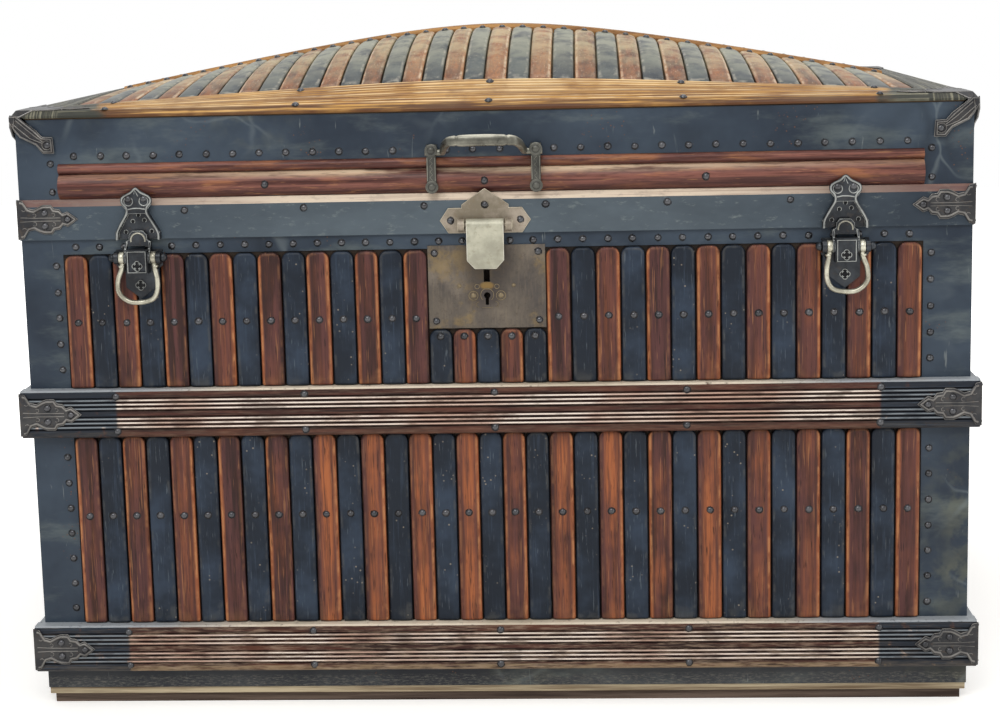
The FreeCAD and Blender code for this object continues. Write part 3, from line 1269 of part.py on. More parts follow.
def lid_nails():
    out, side, edge = V(0, -1, 0), X_AXIS, val("nail_edge")
    metal, row = val(f"{FRONT} - gauge"), val("band_nail")
    left, right = val(f"-{END} + leaf_left"), val(f"{END} - leaf_right")
    lock, post = val("lock_x"), val("handle_half")
    clear = val("post_width/2 + 2*nail_radius")
    spots = []
    for x in level_row(left + edge, right - edge):
        if abs(abs(x - lock) - post) > clear:
            spots.append((V(x, metal, row), out))
    for y in level_row(-HALF_Y + val("leaf_end") + edge, HALF_Y - val("leaf_end") - edge):
        spots.append((V(HALF_X + val("gauge"), y, row), side))
        spots.append((V(-HALF_X - val("gauge"), y, row), -side))
    round_face = val(f"{FRONT} - round_thick")
    for i in (-1, 0, 1):
        x = lock + i * val("rail_nail_pitch + tack_pitch")
        spots.append((V(x, round_face, val(f"{SEAM} + (bevel_top + round_top)/2")), out))
    valance = val(VALANCE_FACE)
    step = val("valance_nail_pitch")
    for i in (-2.5, -1.5, -0.5, 0.5, 1.5, 2.5):
        spots.append((V(lock + i * step, valance, val(f"{SEAM} + valance_top") - 0.7 * edge), out))
    for x in (left - edge, right + edge):
        for z in (val(f"{SEAM} + bevel_top") + edge, val(f"{SEAM} + bead_top")):
            spots.append((V(x, metal, z), out))
    rim = val(f"{VALANCE_FACE} - keeper_rim")
    for name in ("latch_left_x", "latch_right_x"):
        for sign in (-1, 1):
            spots.append((V(val(name) + sign * val("keeper_nail"), rim, val("keeper_row") - 1), out))
    hasp_face = valance - val("plate_gauge")
    for sign in (-1, 1):
        x = lock + sign * val("wing_half - 1.4*nail_edge")
        spots.append((V(x, hasp_face, val(f"{SEAM} + valance_top*0.4")), out))
    spots.append((V(lock, hasp_face, val("crest_foot")), out))
    outer = HALF_X + val("valance_side"), HALF_Y + val("valance_thick")
    spots += [(point, out) for point in clamp_rivets(*outer, *lid_clamp_sizes())]
    inset, drop = CAP_RIVET
    level = EDGE_Z + val("seat_gap") + TOP_THICK - NOSE + drop
    spots += [(V(sign * (OUTER_X - inset), -OUTER_Y - val("cap_gauge"), level), out) for sign in (-1, 1)]
    line = -OUTER_Y + val("top_rail_width") / 2
    step = val("rail_nail_pitch")
    for i in range(-2, 3):
        for shift in (-val("rail_nail_rise"), val("rail_nail_rise")):
            spots.append(crown_spot(i * step, line + shift, TOP_THICK))
    far = val("ridge_half") + 1.5 * edge
    thick = val("dome_slat_thick")
    for first, last in dome_columns():
        x = (first + last) / 2
        for y in (-far, far):
            spots.append(crown_spot(x, y, thick))
    node(solids("lid_rivets", [nail(point, way) for point, way in spots]))


# ---------------------------------------------------------------- build and write
def finish():
    doc.recompute()
    os.makedirs(OUT, exist_ok=True)
    for obj in doc.Objects:
        if "Invalid" in obj.State or "Error" in obj.State:
            raise RuntimeError(f"{obj.Name} failed: {obj.getStatusString()}")
    for obj in SUB_PARTS:
        if obj.Shape.isNull() or not obj.Shape.isValid():
            raise RuntimeError(f"{obj.Label} has no valid shape")
        obj.Shape.exportStep(f"{OUT}/{obj.Label}.step")
    print(f"{len(SUB_PARTS)} sub-parts")


case_boards()
case_rails()
case_bindings()
case_slats()
rail_clamps()
lock()
latches()
hinges()
side_handles()
tray()
case_lining()
lid_boards()
lid_valances()
lid_trim()
dome_slats()
top_caps(dome_rails())
hasp()
lid_handle()
body_nails()
lid_nails()
finish()
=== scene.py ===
"""Looks of the dome top trunk: slats, worn paint, iron fittings, leather handles, paper and tray."""
import json
import math
import random

import bmesh
import bpy
import numpy as np
from mathutils import Matrix, Vector
from mathutils.bvhtree import BVHTree

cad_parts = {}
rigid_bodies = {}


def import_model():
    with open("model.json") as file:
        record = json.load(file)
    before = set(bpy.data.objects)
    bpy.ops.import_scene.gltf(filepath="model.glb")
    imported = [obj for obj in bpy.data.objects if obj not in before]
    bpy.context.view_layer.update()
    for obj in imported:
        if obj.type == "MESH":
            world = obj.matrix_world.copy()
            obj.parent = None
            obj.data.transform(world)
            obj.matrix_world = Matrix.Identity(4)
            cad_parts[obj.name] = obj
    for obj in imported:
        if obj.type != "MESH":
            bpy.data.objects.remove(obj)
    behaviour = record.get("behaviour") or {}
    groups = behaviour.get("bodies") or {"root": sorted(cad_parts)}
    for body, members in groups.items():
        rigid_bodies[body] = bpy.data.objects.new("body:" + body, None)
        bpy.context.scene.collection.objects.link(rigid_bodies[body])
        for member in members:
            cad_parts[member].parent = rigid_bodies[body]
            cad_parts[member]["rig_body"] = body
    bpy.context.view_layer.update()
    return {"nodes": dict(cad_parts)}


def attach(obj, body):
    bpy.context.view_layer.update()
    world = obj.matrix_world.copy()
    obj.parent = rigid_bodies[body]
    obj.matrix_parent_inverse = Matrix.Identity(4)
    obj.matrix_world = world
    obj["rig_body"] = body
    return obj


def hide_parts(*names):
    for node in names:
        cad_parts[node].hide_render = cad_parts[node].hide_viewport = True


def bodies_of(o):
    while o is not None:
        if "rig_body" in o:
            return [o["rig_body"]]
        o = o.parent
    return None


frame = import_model()
NODES = frame["nodes"]
X, Y, Z = Vector((1, 0, 0)), Vector((0, 1, 0)), Vector((0, 0, 1))
MM = 0.001

# measures of the part, in metres from the floor or from its middle
SEAM_Z = 0.459
MID_RAIL_Z, LOW_RAIL_Z = 0.293, 0.060
KEYHOLE = (-0.0053, 0.400)
HINGE_LEAVES = ("hinge_body_leaves", "hinge_lid_leaves")

# the lid's outer surface: half length and half width, height of its edge, rise of its crown, how pointed it is
HALF_X, HALF_Y, EDGE_Z, RISE, SHARP = 0.444, 0.262, 0.574, 0.066, 0.3
ROUND = math.hypot(1, SHARP)
SEAT = 0.3 * MM
CAP_X, CAP_Y, CAP_GAUGE = 0.448, 0.265, 1 * MM

# a slat's face: places across it where it has points, radius of its eased edges, rise of its crown
ACROSS = (-1, -0.97, -0.9, -0.72, -0.4, 0, 0.4, 0.72, 0.9, 0.97, 1)
SLAT_EDGE, SLAT_CROWN = 2.6 * MM, 1.1 * MM
SHARP_ANGLE = math.radians(28)
FLOOR = 4

# lines pressed in the fittings: clamps in shares of their length and half height, the others in millimetres
CLAMP_SHAPE = (
    (0.06, 0.78), (0.11, 0.74), (0.18, 0.42), (0.28, 0.35), (0.38, 0.50), (0.44, 0.56), (0.56, 0.56),
    (0.60, 0.38), (0.69, 0.35), (0.755, 0.17), (0.83, 0.24), (0.95, 0.0),
)
CLAMP_CURLS = (
    (0.12, 0.5, 2.2, -150, 100, 0.5), (0.29, 0.2, 1.8, -120, 140, 0.45), (0.6, 0.22, 1.8, -100, 140, 0.45),
)
CAP_ARM_SHAPE = ((2, 7), (38, 7), (46, 13.5), (54, 11.5), (68, 14.5), (54, 18.5), (45, 17), (39, 27), (28, 28))
CAP_STRAP_SHAPE = (
    (5, 0.5), (22.5, -14.5), (29, -21), (37.5, -21.5), (38, -33), (30.5, -33), (24, -25.5), (9.5, -18.5), (3, -10),
)
KEEPER_SHAPE = (
    (20, 0), (19.6, 6.5), (15.5, 15), (10.6, 23), (9.3, 27.5), (10.5, 31.5), (13.4, 35), (12.9, 40), (5, 44.5),
    (0, 48.5),
)

# ---------------------------------------------------------------- camera
FOCAL, WIDE, HIGH, LEVEL = 1800, 1000, 724, 250
CAMERA_AT = Vector((0.085, -1.928, 0.685))
YAW, PITCH, ROLL = (math.radians(a) for a in (-2.66, 8.27, -1.33))


def add_object(name, data):
    obj = bpy.data.objects.new(name, data)
    bpy.context.scene.collection.objects.link(obj)
    return obj


def camera():
    """The photo's camera: its focal length in pixels of the photo, and the row that is level with it."""
    data = bpy.data.cameras.new("view")
    data.sensor_width = 36
    data.lens = data.sensor_width * FOCAL / WIDE
    data.shift_y = (LEVEL - HIGH / 2) / WIDE
    turn = Matrix.Rotation(YAW, 3, "Z")
    look = Matrix(((1, 0, 0), (0, 0, -1), (0, 1, 0)))
    right, down, forward = Matrix.Rotation(ROLL, 3, "Z") @ Matrix.Rotation(PITCH, 3, "X") @ look @ turn
    cam = add_object("view", data)
    cam.matrix_world = Matrix.Translation(CAMERA_AT) @ Matrix((right, -down, -forward)).transposed().to_4x4()
    bpy.context.scene.camera = cam


# ---------------------------------------------------------------- materials
def rgb(text):
    """Linear colour of a hex sRGB value."""
    parts = [int(text[i:i + 2], 16) / 255 for i in (0, 2, 4)]
    return tuple(c / 12.92 if c <= 0.04045 else ((c + 0.055) / 1.055) ** 2.4 for c in parts) + (1,)


class Value:
    """A socket of a look. Arithmetic on values adds math nodes to the look's tree."""

    def __init__(self, look, socket):
        self.look, self.socket = look, socket

    def __add__(self, other):
        return self.look.math("ADD", self, other)

    def __sub__(self, other):
        return self.look.math("SUBTRACT", self, other)

    def __rsub__(self, other):
        return self.look.math("SUBTRACT", other, self)

    def __mul__(self, other):
        return self.look.math("MULTIPLY", self, other)

    def __truediv__(self, other):
        return self.look.math("DIVIDE", self, other)

    def __abs__(self):
        return self.look.math("ABSOLUTE", self)

    def fma(self, factor, more):
        """This value times factor, plus more."""
        return self.look.math("MULTIPLY_ADD", self, factor, more)

    def step(self, low, high, bottom=0.0, top=1.0):
        """A smooth step from bottom at low to top at high."""
        made = self.look.node("ShaderNodeMapRange", interpolation_type="SMOOTHSTEP")
        return self.look.feed(made, zip(range(5), (self, low, high, bottom, top)))

    def mix(self, share, other):
        """This colour with a share of the other laid over it."""
        return self.look.mix(share, self, other)


class Look:
    """A material whose calls each add one node and return the value it gives."""

    def __init__(self, name, roughness=0.6, metallic=0.0, **settings):
        self.material = bpy.data.materials.new(name)
        self.material.use_nodes = True
        self.tree = self.material.node_tree
        self.shader = self.tree.nodes["Principled BSDF"]
        settings = {"Roughness": roughness, "Metallic": metallic,
                    "Specular IOR Level": 0.2 + 0.3 * (metallic > 0), **settings}
        for key, value in settings.items():
            self.shader.inputs[key.replace("_", " ")].default_value = value
        place = self.node("ShaderNodeTexCoord")
        self.spot, self.facing = (Value(self, place.outputs[key]) for key in ("Object", "Normal"))

    def node(self, kind, **settings):
        made = self.tree.nodes.new(kind)
        for key, value in settings.items():
            setattr(made, key, value)
        return made

    def put(self, value, socket):
        if isinstance(value, Value):
            self.tree.links.new(value.socket, socket)
        else:
            socket.default_value = rgb(value) if isinstance(value, str) else value

    def feed(self, made, inputs, out=0):
        """Gives a node its inputs, as pairs of a key and a value, and returns the named output."""
        for key, value in inputs:
            self.put(value, made.inputs[key])
        return Value(self, made.outputs[out])

    def math(self, operation, a, b=0.0, c=0.0, clamp=False):
        return self.feed(self.node("ShaderNodeMath", operation=operation, use_clamp=clamp), enumerate((a, b, c)))

    def mix(self, share, a, b):
        return self.feed(self.node("ShaderNodeMix", data_type="RGBA"), ((0, share), (6, a), (7, b)), 2)

    def stretch(self, scale, vector=None):
        return self.feed(self.node("ShaderNodeMapping"), (("Vector", vector or self.spot), ("Scale", scale)))

    def noise(self, scale, detail=3.0, roughness=0.55, distortion=0.0, vector=None):
        """Noise of one scale, or of three, one along each axis."""
        if isinstance(scale, tuple):
            scale, vector = 1, self.stretch(scale, vector)
        numbers = {"Scale": scale, "Detail": detail, "Roughness": roughness, "Distortion": distortion}
        return self.feed(
            self.node("ShaderNodeTexNoise"), {"Vector": vector or self.spot, **numbers}.items(), "Fac")

    def cells(self, scale, vector=None, feature="F1"):
        made = self.node("ShaderNodeTexVoronoi", feature=feature)
        return self.feed(made, (("Vector", vector or self.spot), ("Scale", scale)), "Distance")

    def shift(self, amount):
        """The spot moved by amount along each axis."""
        return self.feed(self.node("ShaderNodeVectorMath", operation="ADD"), enumerate((self.spot, amount)))

    def axes(self, vector=None):
        made = self.node("ShaderNodeSeparateXYZ")
        self.put(vector or self.spot, made.inputs[0])
        return [Value(self, socket) for socket in made.outputs]

    def mark(self, name):
        """The red, green and blue parts of a colour attribute on the mesh, and its fourth number."""
        made = self.node("ShaderNodeAttribute", attribute_name=name)
        split = self.node("ShaderNodeSeparateColor")
        self.put(Value(self, made.outputs["Color"]), split.inputs[0])
        return [Value(self, socket) for socket in (*split.outputs[:3], made.outputs["Alpha"])]

    def done(self, shade, rough, *bumps):
        """The material, finished. Each bump is a height, its depth in metres and its strength."""
        self.put(shade, self.shader.inputs["Base Color"])
        if rough:
            self.put(rough, self.shader.inputs["Roughness"])
        normal = self.shader.inputs["Normal"]
        for height, depth, strength in bumps:
            made = self.node("ShaderNodeBump")
            if normal.links:
                self.tree.links.new(normal.links[0].from_socket, made.inputs["Normal"])
            inputs = (("Strength", strength), ("Distance", depth), ("Height", height))
            self.put(self.feed(made, inputs), normal)
        return self.material


def grain_scale(axis, fine, along):
    """Scale of noise that runs along an axis."""
    return tuple(along if i == "xyz".index(axis) else fine for i in range(3))


def brown_slat(name, axis, dark, middle, worn, edge, wear, low_wear=0.0):
    """Stained hardwood slat: dark red-brown, rubbed to orange at its edges and, lower down, on its crown; its sides
    painted near black as shade between the slats.
    """
    look = Look(name, 0.46)
    rim, _, tone, across = look.mark("slat")
    x, y, z = look.axes()
    look.spot = look.shift(tone * 7.0)
    fibre = look.noise(grain_scale(axis, 420, 14), 4, 0.65)
    streak = look.noise(grain_scale(axis, 170, 8), 3, 0.6)
    cloud = look.noise(9, 4, 0.6)
    stain = look.mix(streak.step(0.35, 0.66), dark, middle)
    stain = stain.mix(tone.step(0.2, 0.95) * 0.35, middle)
    crown = abs(across - 0.5).step(0.42, 0.1)
    low = z.step(0.36, 0.22) * abs(x).step(0.44, 0.12)
    amount = low.fma(low_wear, wear)
    rub = cloud.fma(1.1, tone.fma(0.4, -0.5))
    rub = rub.step(0.1, 0.5) * crown * fibre.step(0.36, 0.6).fma(0.7, 0.3)
    shade = stain.mix(look.math("MULTIPLY", rub, amount, clamp=True), worn)
    ragged = look.noise(grain_scale(axis, 60, 12), 3).fma(0.22, -0.11)
    side = across + ragged
    left = side.step(0.2, 0.08) * tone.step(0.75, 0.35)
    right = side.step(0.78, 0.92) * tone.step(0.2, 0.6)
    strip = look.math("MAXIMUM", left, right) * streak.step(0.2, 0.5)
    shade = shade.mix(strip * 0.7, worn)
    lip = rim.step(0.12, 0.3) * rim.step(0.75, 0.42) * look.noise(60, 3).step(0.4, 0.62)
    lip = lip * look.math("MAXIMUM", left, right).fma(0.5, 0.15)
    shade = shade.mix(lip, edge)
    # painted shade: the slat's sides, down to where it meets the board, go near black as the shade between slats
    shade = shade.mix(rim.step(0.16, 0.0) * 0.9, "140d0c")
    fleck = look.noise(grain_scale(axis, 900, 55), 2).step(0.6, 0.7)
    shade = shade.mix(fleck * 0.7, "23130f")
    pale = look.noise(grain_scale(axis, 700, 24), 2, vector=look.shift((0.7, 0.7, 0.7))).step(0.62, 0.7)
    shade = shade.mix(pale * 0.3, edge)
    if axis == "y":
        shade = dusty(look, shade, y, "c4b48c")
    return look.done(shade, fibre.fma(0.3, 0.3), (fibre + fleck * -0.6, 0.00035, 0.55))


def dusty(look, shade, y, dust):
    """Sun and dust have bleached the dome towards its ridge."""
    cover = abs(y).step(0.245, 0.09) * look.noise(40, 4, 0.65).step(0.28, 0.62)
    return shade.mix(cover * 0.62, dust)


def black_slat(name, axis, paint, faded, edge, fade):
    """Black-painted slat: thin paint over grain, scuffed, with bare specks; its sides painted near black as shade
    between the slats.
    """
    look = Look(name, 0.42)
    rim, _, tone, _ = look.mark("slat")
    y = look.axes()[1]
    look.spot = look.shift(tone * 9.0)
    fibre = look.noise(grain_scale(axis, 380, 16), 4, 0.65)
    cloud = look.noise(14, 4, 0.6)
    shade = look.mix(cloud.step(0.4, 0.75), paint, faded)
    shade = shade.mix(fibre.step(0.54, 0.72) * fade, faded)
    lip = rim.step(0.12, 0.32) * rim.step(0.75, 0.42) * look.noise(70, 3).step(0.46, 0.66)
    shade = shade.mix(lip * 0.35, edge)
    speck = look.cells(150).step(0.16, 0.09) * look.noise(24, 2).step(0.52, 0.62)
    shade = shade.mix(speck * 0.6, "9a8f80")
    scuff = look.noise(grain_scale(axis, 800, 60), 3).step(0.62, 0.72)
    shade = shade.mix(scuff * 0.4, "6c757c")
    # painted shade: the slat's sides, down to where it meets the board, go near black as the shade between slats
    shade = shade.mix(rim.step(0.16, 0.0) * 0.85, "07080a")
    if axis == "y":
        shade = dusty(look, shade, y, "a6a58e")
    return look.done(shade, cloud.fma(0.35, 0.24), (fibre, 0.0003, 0.5))


def rail_wood(name, middle_z, foot, foot_share, dust):
    """Dark maroon rail with three thin pale rubbed ridges in each bank and painted shade in the grooves between them,
    painted black towards its ends.

    foot and foot_share are the colour of its lower edge and how much of that edge shows it, dust how thick
    the pale film on its face is.
    """
    look = Look(name, 0.5)
    x, y, z = look.axes()
    nx, ny, nz = look.axes(look.facing)
    fibre = look.noise((12, 12, 480), 4, 0.65)
    cloud = look.noise(7, 4, 0.6, vector=look.stretch((1, 1, 3)))
    grit = look.noise((60, 60, 500), 4, 0.6)
    wood = look.mix(fibre.step(0.38, 0.66), "261410", "4d2c24")
    wood = wood.mix(cloud.step(0.5, 0.75) * 0.4, "7c4a34")
    place = (abs(z - middle_z) - 0.009) / 0.004
    near = abs(place - look.math("ROUND", place))
    bead = near.step(0.26, 0.1) * abs(place).step(1.5, 1.4)
    bead = bead * look.math("MAXIMUM", abs(nx), abs(ny)).step(0.9, 0.97)
    chip = look.noise((30, 30, 90), 4, 0.6).step(0.36, 0.5)
    worn = bead * chip.fma(0.5, 0.42)
    low_edge = (middle_z - z).step(0.0165, 0.0185) * grit.step(0.3, 0.6)
    along_front = abs(x).step(0.3585, 0.3615)
    along_end = abs(y).step(0.1485, 0.1515)
    paint = look.mix(abs(nx).step(0.5, 0.7), along_front, along_end)
    paint = paint * look.noise(90, 4).step(0.25, 0.4)
    # painted shade: the grooves between the ridges are darkened, on the bare wood and on the black ends
    groove_shade = near.step(0.2, 0.36) * abs(place).step(2.0, 1.8) * 0.8
    bare = look.mix(look.noise(11, 3).step(0.36, 0.6), "c9a694", "fff0e2")
    shade = look.mix(worn, wood.mix(groove_shade, "170b09"), bare)
    shade = shade.mix(low_edge * foot_share, foot)
    dark = look.mix(fibre.step(0.5, 0.75), "1a2029", "3a434e")
    dark = look.mix(worn * 0.7, look.mix(groove_shade, dark, "0b0f15"), "9aa2a8")
    dark = look.mix(low_edge * (foot_share * 0.6), dark, "5d564c")
    shade = shade.mix(paint, dark)
    film = look.noise((40, 40, 420), 5, 0.7).step(0.44, 0.66)
    film = film * paint.fma(-0.85, 1.0)
    shade = shade.mix(film * dust, "b09882")
    # partly dust, partly painted light: the up-facing ledge above the rail is made paler than the dust alone would
    # make it
    above = (z - middle_z).step(0.0185, 0.0195)
    ledge_dust_and_light = nz.step(0.3, 0.6) * look.noise(170, 4, 0.65).step(0.2, 0.44) * above
    pale = look.mix(abs(x).step(0.34, 0.22), "a3a8ac", "eadcc6")
    pale = look.mix(cloud.step(0.5, 0.7) * 0.5, pale, "a59a80")
    shade = shade.mix(ledge_dust_and_light * 0.85, pale)
    return look.done(shade, fibre.fma(0.35, 0.3), (fibre, 0.0003, 0.5), (bead, 0.0006, 0.8))


def top_rail_wood(name):
    """Rail of the lid, golden on top, its nose and the faces that don't look up painted darker as shade, thin grooves
    painted dark as shade, and black ends.
    """
    look = Look(name, 0.48)
    x, y, _ = look.axes()
    end = abs(x).step(0.4025, 0.4045)
    run = look.mix(end, look.noise((10, 420, 10), 4, 0.65), look.noise((420, 10, 10), 4, 0.65))
    cloud = look.noise(6, 4)
    nz = look.axes(look.facing)[2]
    wood = look.mix(run.step(0.36, 0.62), "6a421f", "c0914f")
    wood = wood.mix(cloud.step(0.46, 0.72) * 0.6, "e0bd86")
    inward = look.mix(end, 0.262 - abs(y), 0.444 - abs(x))
    place = inward / 0.0052
    near = abs(place - look.math("ROUND", place))
    ridge = near.step(0.22, 0.08) * nz.step(0.6, 0.85) * look.noise((24, 24, 24), 3).step(0.36, 0.56)
    # painted shade: the grooves between the ridges on top are darkened
    groove_shade = near.step(0.3, 0.46) * nz.step(0.6, 0.85)
    wood = wood.mix(groove_shade * 0.5, "5a3a1e")
    wood = wood.mix(ridge * 0.55, "f2dcae")
    wood = wood.mix(look.noise(30, 4).step(0.56, 0.7) * 0.35, "6b4527")
    ragged = look.noise(34, 4).fma(0.05, -0.025)
    black = (abs(x) + ragged).step(0.358, 0.372)
    # painted shade: the front and back nose is darkened, streaky with the grain
    outer = abs(y).step(0.2595, 0.2615) * run.step(0.66, 0.44)
    wood = wood.mix(outer * 0.8, "4a2f22")
    # painted shade: faces that don't look up are darkened
    wood = wood.mix(nz.step(0.55, 0.1) * 0.55, "5d3a22")
    dark = look.mix(run.step(0.46, 0.72), "34352f", "8c8874")
    return look.done(wood.mix(black, dark), run.fma(0.35, 0.3), (run, 0.0003, 0.5))


def black_sheet(name, base="232c38", light="434f5c", scuff=0.35, dirt=None):
    """Japanned sheet iron: blue-black lacquer, soft dents, creases drawn as painted highlight lines with painted
    shade beside them, rubbed streaks and a little rust.

    dirt is the level under which pale grime has caught.
    """
    look = Look(name, 0.38)
    cloud = look.noise(5, 5, 0.6)
    smear = look.noise((9, 9, 30), 5, 0.65)
    shade = look.mix(cloud.step(0.32, 0.7), base, light)
    shade = shade.mix(smear.step(0.5, 0.74) * scuff, "7d8681")
    olive = look.noise(3.1, 6, 0.7).step(0.52, 0.72) * 0.3
    shade = shade.mix(olive * look.noise(60, 3).step(0.4, 0.6), "8b8a6c")
    warp = look.shift(look.noise(8, 3).fma(0.12, -0.06))
    crease = look.cells(9, warp, "DISTANCE_TO_EDGE")
    crease_light_mask = look.noise(6, 2).step(0.48, 0.62)
    # painted highlight: pale lines along the creases stand in for the light on the crumpled sheet
    line = crease.step(0.035, 0.0) * crease_light_mask
    shade = shade.mix(line * 0.2, "98a2a2")
    # painted shade: a dark band beside each crease
    crease_shade = crease.step(0.0, 0.16) * crease.step(0.34, 0.12)
    shade = shade.mix(crease_shade * crease_light_mask * 0.4, "141b23")
    scratch = look.noise((160, 160, 20), 3, 0.7, 0.6)
    shade = shade.mix(scratch.step(0.66, 0.74) * 0.35, "9aa09c")
    pit = look.cells(220).step(0.2, 0.1) * look.noise(16, 3).step(0.55, 0.66)
    shade = shade.mix(pit * 0.7, "6d4a35")
    if dirt:
        grime = look.axes()[2].step(dirt, dirt - 0.004)
        grime = grime * look.noise((160, 160, 700), 5, 0.75).step(0.46, 0.68)
        shade = shade.mix(grime * 0.45, "8d897c")
    return look.done(
        shade, smear.fma(0.34, 0.24),
        (look.noise(11, 2), 0.0045, 0.75),
        (look.noise(34, 3, distortion=0.6), 0.0009, 0.6),
        (look.noise(240, 3), 0.0001, 0.35),
    )


def valance_paint(name):
    """Slate-grey painted board, paler in the middle of the front, its bevelled top rubbed to pale wood."""
    look = Look(name, 0.45)
    x = look.axes()[0]
    nz = look.axes(look.facing)[2]
    cloud = look.noise(4, 5, 0.65, vector=look.stretch((1, 1, 2)))
    fine = look.noise((60, 60, 160), 5, 0.7)
    centre = abs(x).step(0.4, 0.12)
    shade = look.mix(cloud.step(0.34, 0.68), "2b343e", "47525c")
    shade = shade.mix(centre * cloud.fma(0.5, 0.1), "6f7a80")
    shade = shade.mix(fine.step(0.56, 0.72) * 0.4, "8f9792")
    fade = abs(x).step(0.43, 0.16)
    run = look.noise((8, 8, 500), 4, 0.65)
    strip = look.mix(fade, "6e5450", "dccab4")
    strip = strip.mix(run.step(0.48, 0.62) * 0.45, "8a6a5c")
    strip = strip.mix(fine.step(0.5, 0.68) * 0.4, "8a7a70")
    return look.done(
        shade.mix(nz.step(0.12, 0.3), strip), None,
        (fine, 0.0004, 0.5),
        (look.noise(14, 2), 0.002, 0.5),
    )


def moulding_wood(name):
    """Turned mahogany moulding: red-brown, painted darker under its curve as shade, a pale painted highlight along
    the top.
    """
    look = Look(name, 0.34)
    x, _, z = look.axes()
    nz = look.axes(look.facing)[2]
    run = look.noise((9, 9, 300), 5, 0.65)
    blotch = look.noise((14, 14, 90), 4, 0.6)
    shade = look.mix(run.step(0.35, 0.66), "4c2c27", "84554a")
    shade = shade.mix(blotch.step(0.5, 0.7) * 0.55, "ab7048")
    # painted shade: faces that look down are darkened
    shade = shade.mix(nz.step(-0.1, -0.7) * 0.6, "381c1e")
    centre = abs(x).step(0.38, 0.1).fma(0.75, 0.2)
    # painted highlight: a pale streak on the upward faces, strongest in the middle of the front
    crown = nz.step(0.35, 0.85) * (run + blotch).step(0.7, 1.1)
    crown = crown * z.step(0.5222, 0.5214)
    shade = shade.mix(crown * centre, "dcc4a6")
    dash = look.noise((50, 50, 700), 3, 0.6).step(0.54, 0.66)
    shade = shade.mix(dash * 0.4, "2c1512")
    dash = look.noise((40, 40, 600), 3, 0.6).step(0.6, 0.7)
    shade = shade.mix(dash * 0.35, "c08a5c")
    return look.done(shade, run.fma(0.25, 0.2), (run, 0.0002, 0.5))


def iron(name, dark, light, rust, roughness=0.4, metallic=0.45, bright="b4aea2", wear=0.0):
    """Cast or pressed iron, darkened in its hollows; wear rubs the marked edges bright."""
    look = Look(name, roughness, metallic)
    cloud = look.noise(40, 5, 0.65)
    fine = look.noise(260, 4, 0.6)
    shade = look.mix(cloud.step(0.35, 0.68), dark, light)
    shade = shade.mix(fine.step(0.54, 0.7) * 0.4, rust)
    if wear:
        high = look.mark("relief")[0]
        rubbed = high * cloud.step(0.3, 0.6).fma(0.6, 0.4)
        shade = shade.mix(rubbed * wear, bright)
    return look.done(shade, cloud.fma(0.3, roughness - 0.14), (fine, 0.00025, 0.5))


def board(name, light, dark):
    """Plain board, its grain along x, or along y on the faces that look towards the ends."""
    look = Look(name, 0.7)
    side = abs(look.axes(look.facing)[0]).step(0.5, 0.7)
    run, fibre = (
        look.mix(side, *(look.noise(grain_scale(axis, fine, along), detail, 0.6) for axis in "xy"))
        for fine, along, detail in ((150, 5, 5), (620, 24, 3))
    )
    shade = look.mix(run.step(0.34, 0.66), dark, light)
    shade = shade.mix(fibre.step(0.55, 0.75) * 0.4, dark)
    return look.done(shade, None, (fibre, 0.00025, 0.5))


def paper(name):
    """Aged lining paper with a faint stripe, foxed and rubbed."""
    look = Look(name, 0.85)
    x, y, _ = look.axes()
    side = abs(look.axes(look.facing)[0]).step(0.5, 0.7)
    wave = look.math("SINE", look.mix(side, x, y) * (2 * math.pi / 0.024))
    stripe = wave.step(0.72, 0.86) * look.noise(90, 3).step(0.3, 0.5)
    cloud = look.noise(6, 5, 0.6)
    shade = look.mix(cloud.step(0.32, 0.72), "c9b88f", "b19c70")
    shade = shade.mix(stripe * 0.5, "8f7d63")
    fox = look.cells(30).step(0.3, 0.08) * look.noise(11, 3).step(0.52, 0.68)
    shade = shade.mix(fox * 0.6, "7a5a35")
    return look.done(shade, None, (look.noise(700, 3), 0.00008, 0.5), (look.noise(8, 2), 0.0012, 0.4))


def leather(name):
    """Harness leather: pores and creases across the bend, and pale thread where the stitches are marked."""
    look = Look(name, 0.5)
    cloud = look.noise(30, 5, 0.6)
    crease = look.noise((60, 300, 300), 4, 0.6, 0.5)
    shade = look.mix(cloud.step(0.32, 0.7), "2e1d14", "5d3c26")
    shade = shade.mix(crease.step(0.58, 0.72) * 0.4, "8a6040")
    shade = shade.mix(look.mark("relief")[0] * 0.8, "b59f74")
    return look.done(shade, cloud.fma(0.3, 0.34), (look.cells(900), 0.00015, 0.5), (crease, 0.0005, 0.5))


def tape(name):
    """Flat woven cotton tape."""
    look = Look(name, 0.9, Sheen_Weight=0.3)
    _, y, z = look.axes()
    twill = look.math("SINE", (y + z) * (2 * math.pi / 0.0012))
    warp = look.math("SINE", y * (2 * math.pi / 0.0009))
    shade = look.mix(look.noise(40, 4).step(0.35, 0.7), "b7a988", "94835f")
    shade = shade.mix(twill.step(-0.2, 0.8) * 0.35, "7d6c4e")
    return look.done(shade, None, (twill + warp, 0.0001, 0.6))


